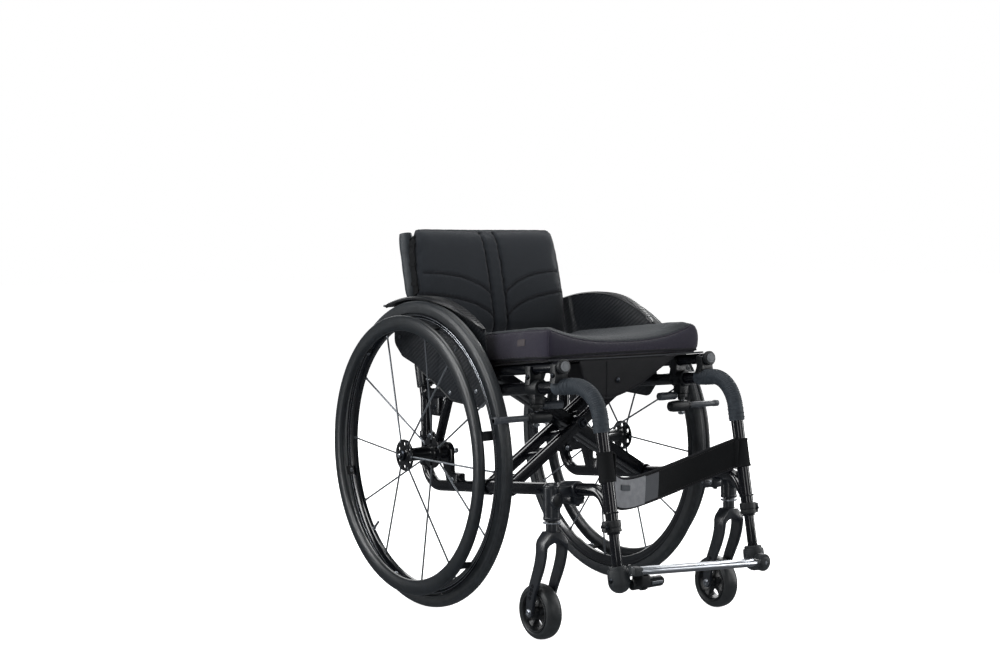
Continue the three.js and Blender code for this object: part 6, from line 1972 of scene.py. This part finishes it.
channels = [frontLine([(side * backrestSizes["seam"], height) for height in backrestSizes["seamHeights"]])
            for side in (-1, 1)]
arcs = [frontLine([(side * x, height) for x, height in arc]) for side in (-1, 1)
        for arc in backrestSizes["arcs"]]
drawnIn(backSoft, channels, 4.6, 3.4, 0.4, 21)
drawnIn(backSoft, arcs, 3.0, 2.8, 0.7, 9)
frontEdge = [laidOn(surface, [backrestPoint(side * 0.985, y, 0.94) for y in np.linspace(-0.94, 0.94, 30)])
             for side in (-1, 1)]
topEdge = laidOn(surface, [backrestPoint(x, 0.985, 0.94) for x in np.linspace(-0.93, 0.93, 44)])
drawnIn(backSoft, [*frontEdge, topEdge], 1.2, 2.4, 0.4, 12)
surface = treeOf(backSoft)
trim = Shape(backEdge)
for line in frontEdge:
    addBar(trim, laidOn(surface, line, 0.4), 1.7, 8, edge=0.4)
    addStitches(trim, laidOn(surface, line * vec(0.965, 1, 1) + vec(0, -4, 0), 0.2), 4.0, 2.8, 0.6, labelCloth)
addBar(trim, laidOn(surface, topEdge, 0.4), 1.3, 8, edge=0.4)
for line in arcs:
    addStitches(trim, laidOn(surface, line + vec(0, -2, 2.6), 0.15), 4.6, 3.2, 0.65, labelCloth)
trim.use(pipingCloth)
for line in [*arcs, *channels]:
    addBar(trim, laidOn(surface, line, 0.1), 0.85, 8, edge=0.3)
# the dark strap down the outer side on the right, with its loops
trim.use(webbing)
strapSide = laidOn(surface, [backrestPoint(-1.02, y, 0.5) for y in np.linspace(-0.15, 0.86, 26)], 1.6)
addBar(trim, strapSide, 1.0, section=oblong(8, 1.4), up=(0, 1, 0), edge=0.0)
for k in (4, 12, 20):
    addBar(trim, [strapSide[k] + vec(-2.4, y, 0) for y in np.linspace(-10, 10, 7)], 1.0,
           section=oblong(3.2, 0.9), up=(0, 0, 1), edge=0.0)
behindLine = loop(lambda x, y: backrestPoint(0.93 * x, y, -1) + vec(0, 12, 0), 0.93, 30)
addBar(trim, laidOn(surface, behindLine, 0.2), 0.9, 8, closed=True)
addStitches(trim, laidOn(surface, closedLine(behindLine) * vec(0.975, 1, 1), 0.1), 4.6, 3.2, 0.65, labelCloth)
backPiece = place("back_pad", backSoft, "right_side", "backrest_upholstery", "cloth", angle=60)
trimPiece = place("back_pad_trim", trim, "right_side", "backrest_upholstery", "cloth")


def rollShape():
    z = backrestSizes
    path = finer([backPoint(z["rollLow"]), backPoint(z["rollHigh"])], 10)
    shape = Shape(rollCloth)
    ends = [min(k, len(path) - 1 - k) for k in range(len(path))]
    radii = [z["roll"] - (2.6, 0.8, 0.2)[min(e, 2)] * (e < 3) + 0.25 * math.sin(k * 1.3)
             for k, e in enumerate(ends)]
    outer, inner = [[p + r * np.array([c * a + s * b for c, s in oval(1, 1, 40)])
                     for p, r, (a, b, _) in zip(path, sizes, carried(path, (0, 1, 0)))]
                    for sizes in (radii, [z["rollBore"]] * len(path))]
    shape.addRings(outer + inner[::-1], closedAlong=True)
    addBar(shape, [p + vec(0, z["rollSeam"], 0) for p in path[1:-1]], 1.0, 8, edge=0.3)
    return shape


placePairs(("{}_cane_cover", rollShape, "{}_side", "backrest_upholstery", "cloth"))

print("calf strap")
strapSizes = {
    "high": 344, "low": 292, "cuff": 15.6, "sag": 40, "drop": 56, "thickness": 3.2, "height": 56, "rise": 0.35,
    "half": 147.5, "bore": 11.9, "start": 0.03, "lowestShare": 0.24, "curl": 2.4,
}
strapBow = lambda t: (t * (1 - strapSizes["start"]) + strapSizes["start"]) ** strapSizes["rise"] * (1 - t)
strapTop = strapBow(strapSizes["lowestShare"])


def strapPoint(x, tall, out=0.0):  # x and tall from -1 to 1
    z = strapSizes
    fall = strapBow(min(1, max(0, (x + 1) / 2))) / strapTop
    middle = (z["high"] + z["low"]) / 2
    height = middle - z["drop"] * fall + tall * z["height"] / 2
    lean = (height - middle + z["drop"] * fall) * tanLean * 0.4
    y = legPoint(middle)[1] + z["sag"] * (1 - x * x) + z["curl"] * tall * tall * 0.5 - out - lean
    return vec(z["half"] * x, y, height)


def strapShape():
    z = strapSizes
    xs = -np.cos(np.linspace(0, math.pi, 71))
    shape = Shape(webbing)
    addCloth(shape, [[strapPoint(x, tall) for tall in np.linspace(-1, 1, 13)] for x in xs], z["thickness"])
    return shape


def strapTrimShape():
    z = strapSizes
    shape = Shape(pipingCloth)
    xs = np.linspace(-0.97, 0.985, 60)
    for tall in (-0.99, 0.99):
        addBar(shape, [strapPoint(x, tall) for x in xs], 2.1, 8, edge=0.4)
    for tall in (-0.86, 0.86):
        addStitches(shape, [strapPoint(x, tall, z["thickness"] / 2 + 0.1) for x in xs], 4.5, 3.2, 0.6,
                    labelCloth)
    shape.use(plateGrey)  # the grey plate by the right leg, its tab, and the grey end of the strap
    grid = [[strapPoint(x, tall, 3.2) for tall in np.linspace(-0.9, 0.9, 7)]
            for x in np.linspace(-0.985, -0.3, 20)]
    addCloth(shape, grid, 2.6)
    shape.use(rodCoat)
    addCloth(shape, [[strapPoint(x, tall, 5.2) for tall in np.linspace(0.2, 0.55, 5)]
                     for x in np.linspace(-0.82, -0.62, 6)], 2.0)
    shape.use(strapGrey)
    addCloth(shape, [[strapPoint(x, tall, 2.6) for tall in np.linspace(-0.84, 0.84, 7)]
                     for x in np.linspace(-0.29, -0.06, 8)], 1.6)
    return shape


def cuffShape():
    z = strapSizes
    shape = Shape(webbing)
    low, high = legPoint(z["low"]), legPoint(z["high"])
    long, r = np.linalg.norm(high - low), z["cuff"]
    profile = [(0, z["bore"]), (0, r - 0.4), (3, r), (5, r - 1), (long - 5, r - 1), (long - 3, r),
               (long, r - 0.4), (long, z["bore"])]
    addTurned(shape, eased(profile, 0.8), low, high - low, 44, ring=True)
    addBlock(shape, (legX - 17, low[1] - 4, z["low"] + 2), (legX - 13, low[1] + 6, z["high"] - 2), 1.5)
    return shape


strapPiece = place("calf_band", strapShape(), "right_side", "calf_strap", "cloth")
strapTrim = place("calf_band_trim", strapTrimShape(), "right_side", "calf_strap", "cloth")
placePairs(("{}_calf_cuff", cuffShape, "{}_side", "calf_strap", "cloth"))

print("cloth meshes and the pouch's area")
for piece in (seatCloth, seatHem, seatPouch, pouchBits, cushionPiece, pipingPiece):
    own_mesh(piece)
for piece in (backPiece, trimPiece):
    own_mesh(piece)
for piece in (strapPiece, strapTrim):
    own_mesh(piece)
pouchArea = sum(np.linalg.norm(np.cross(b - a, d - a))
                for a, b, d in zip(pouchGrid[:-1, :-1].reshape(-1, 3), pouchGrid[1:, :-1].reshape(-1, 3),
                                   pouchGrid[:-1, 1:].reshape(-1, 3))) / 1e6
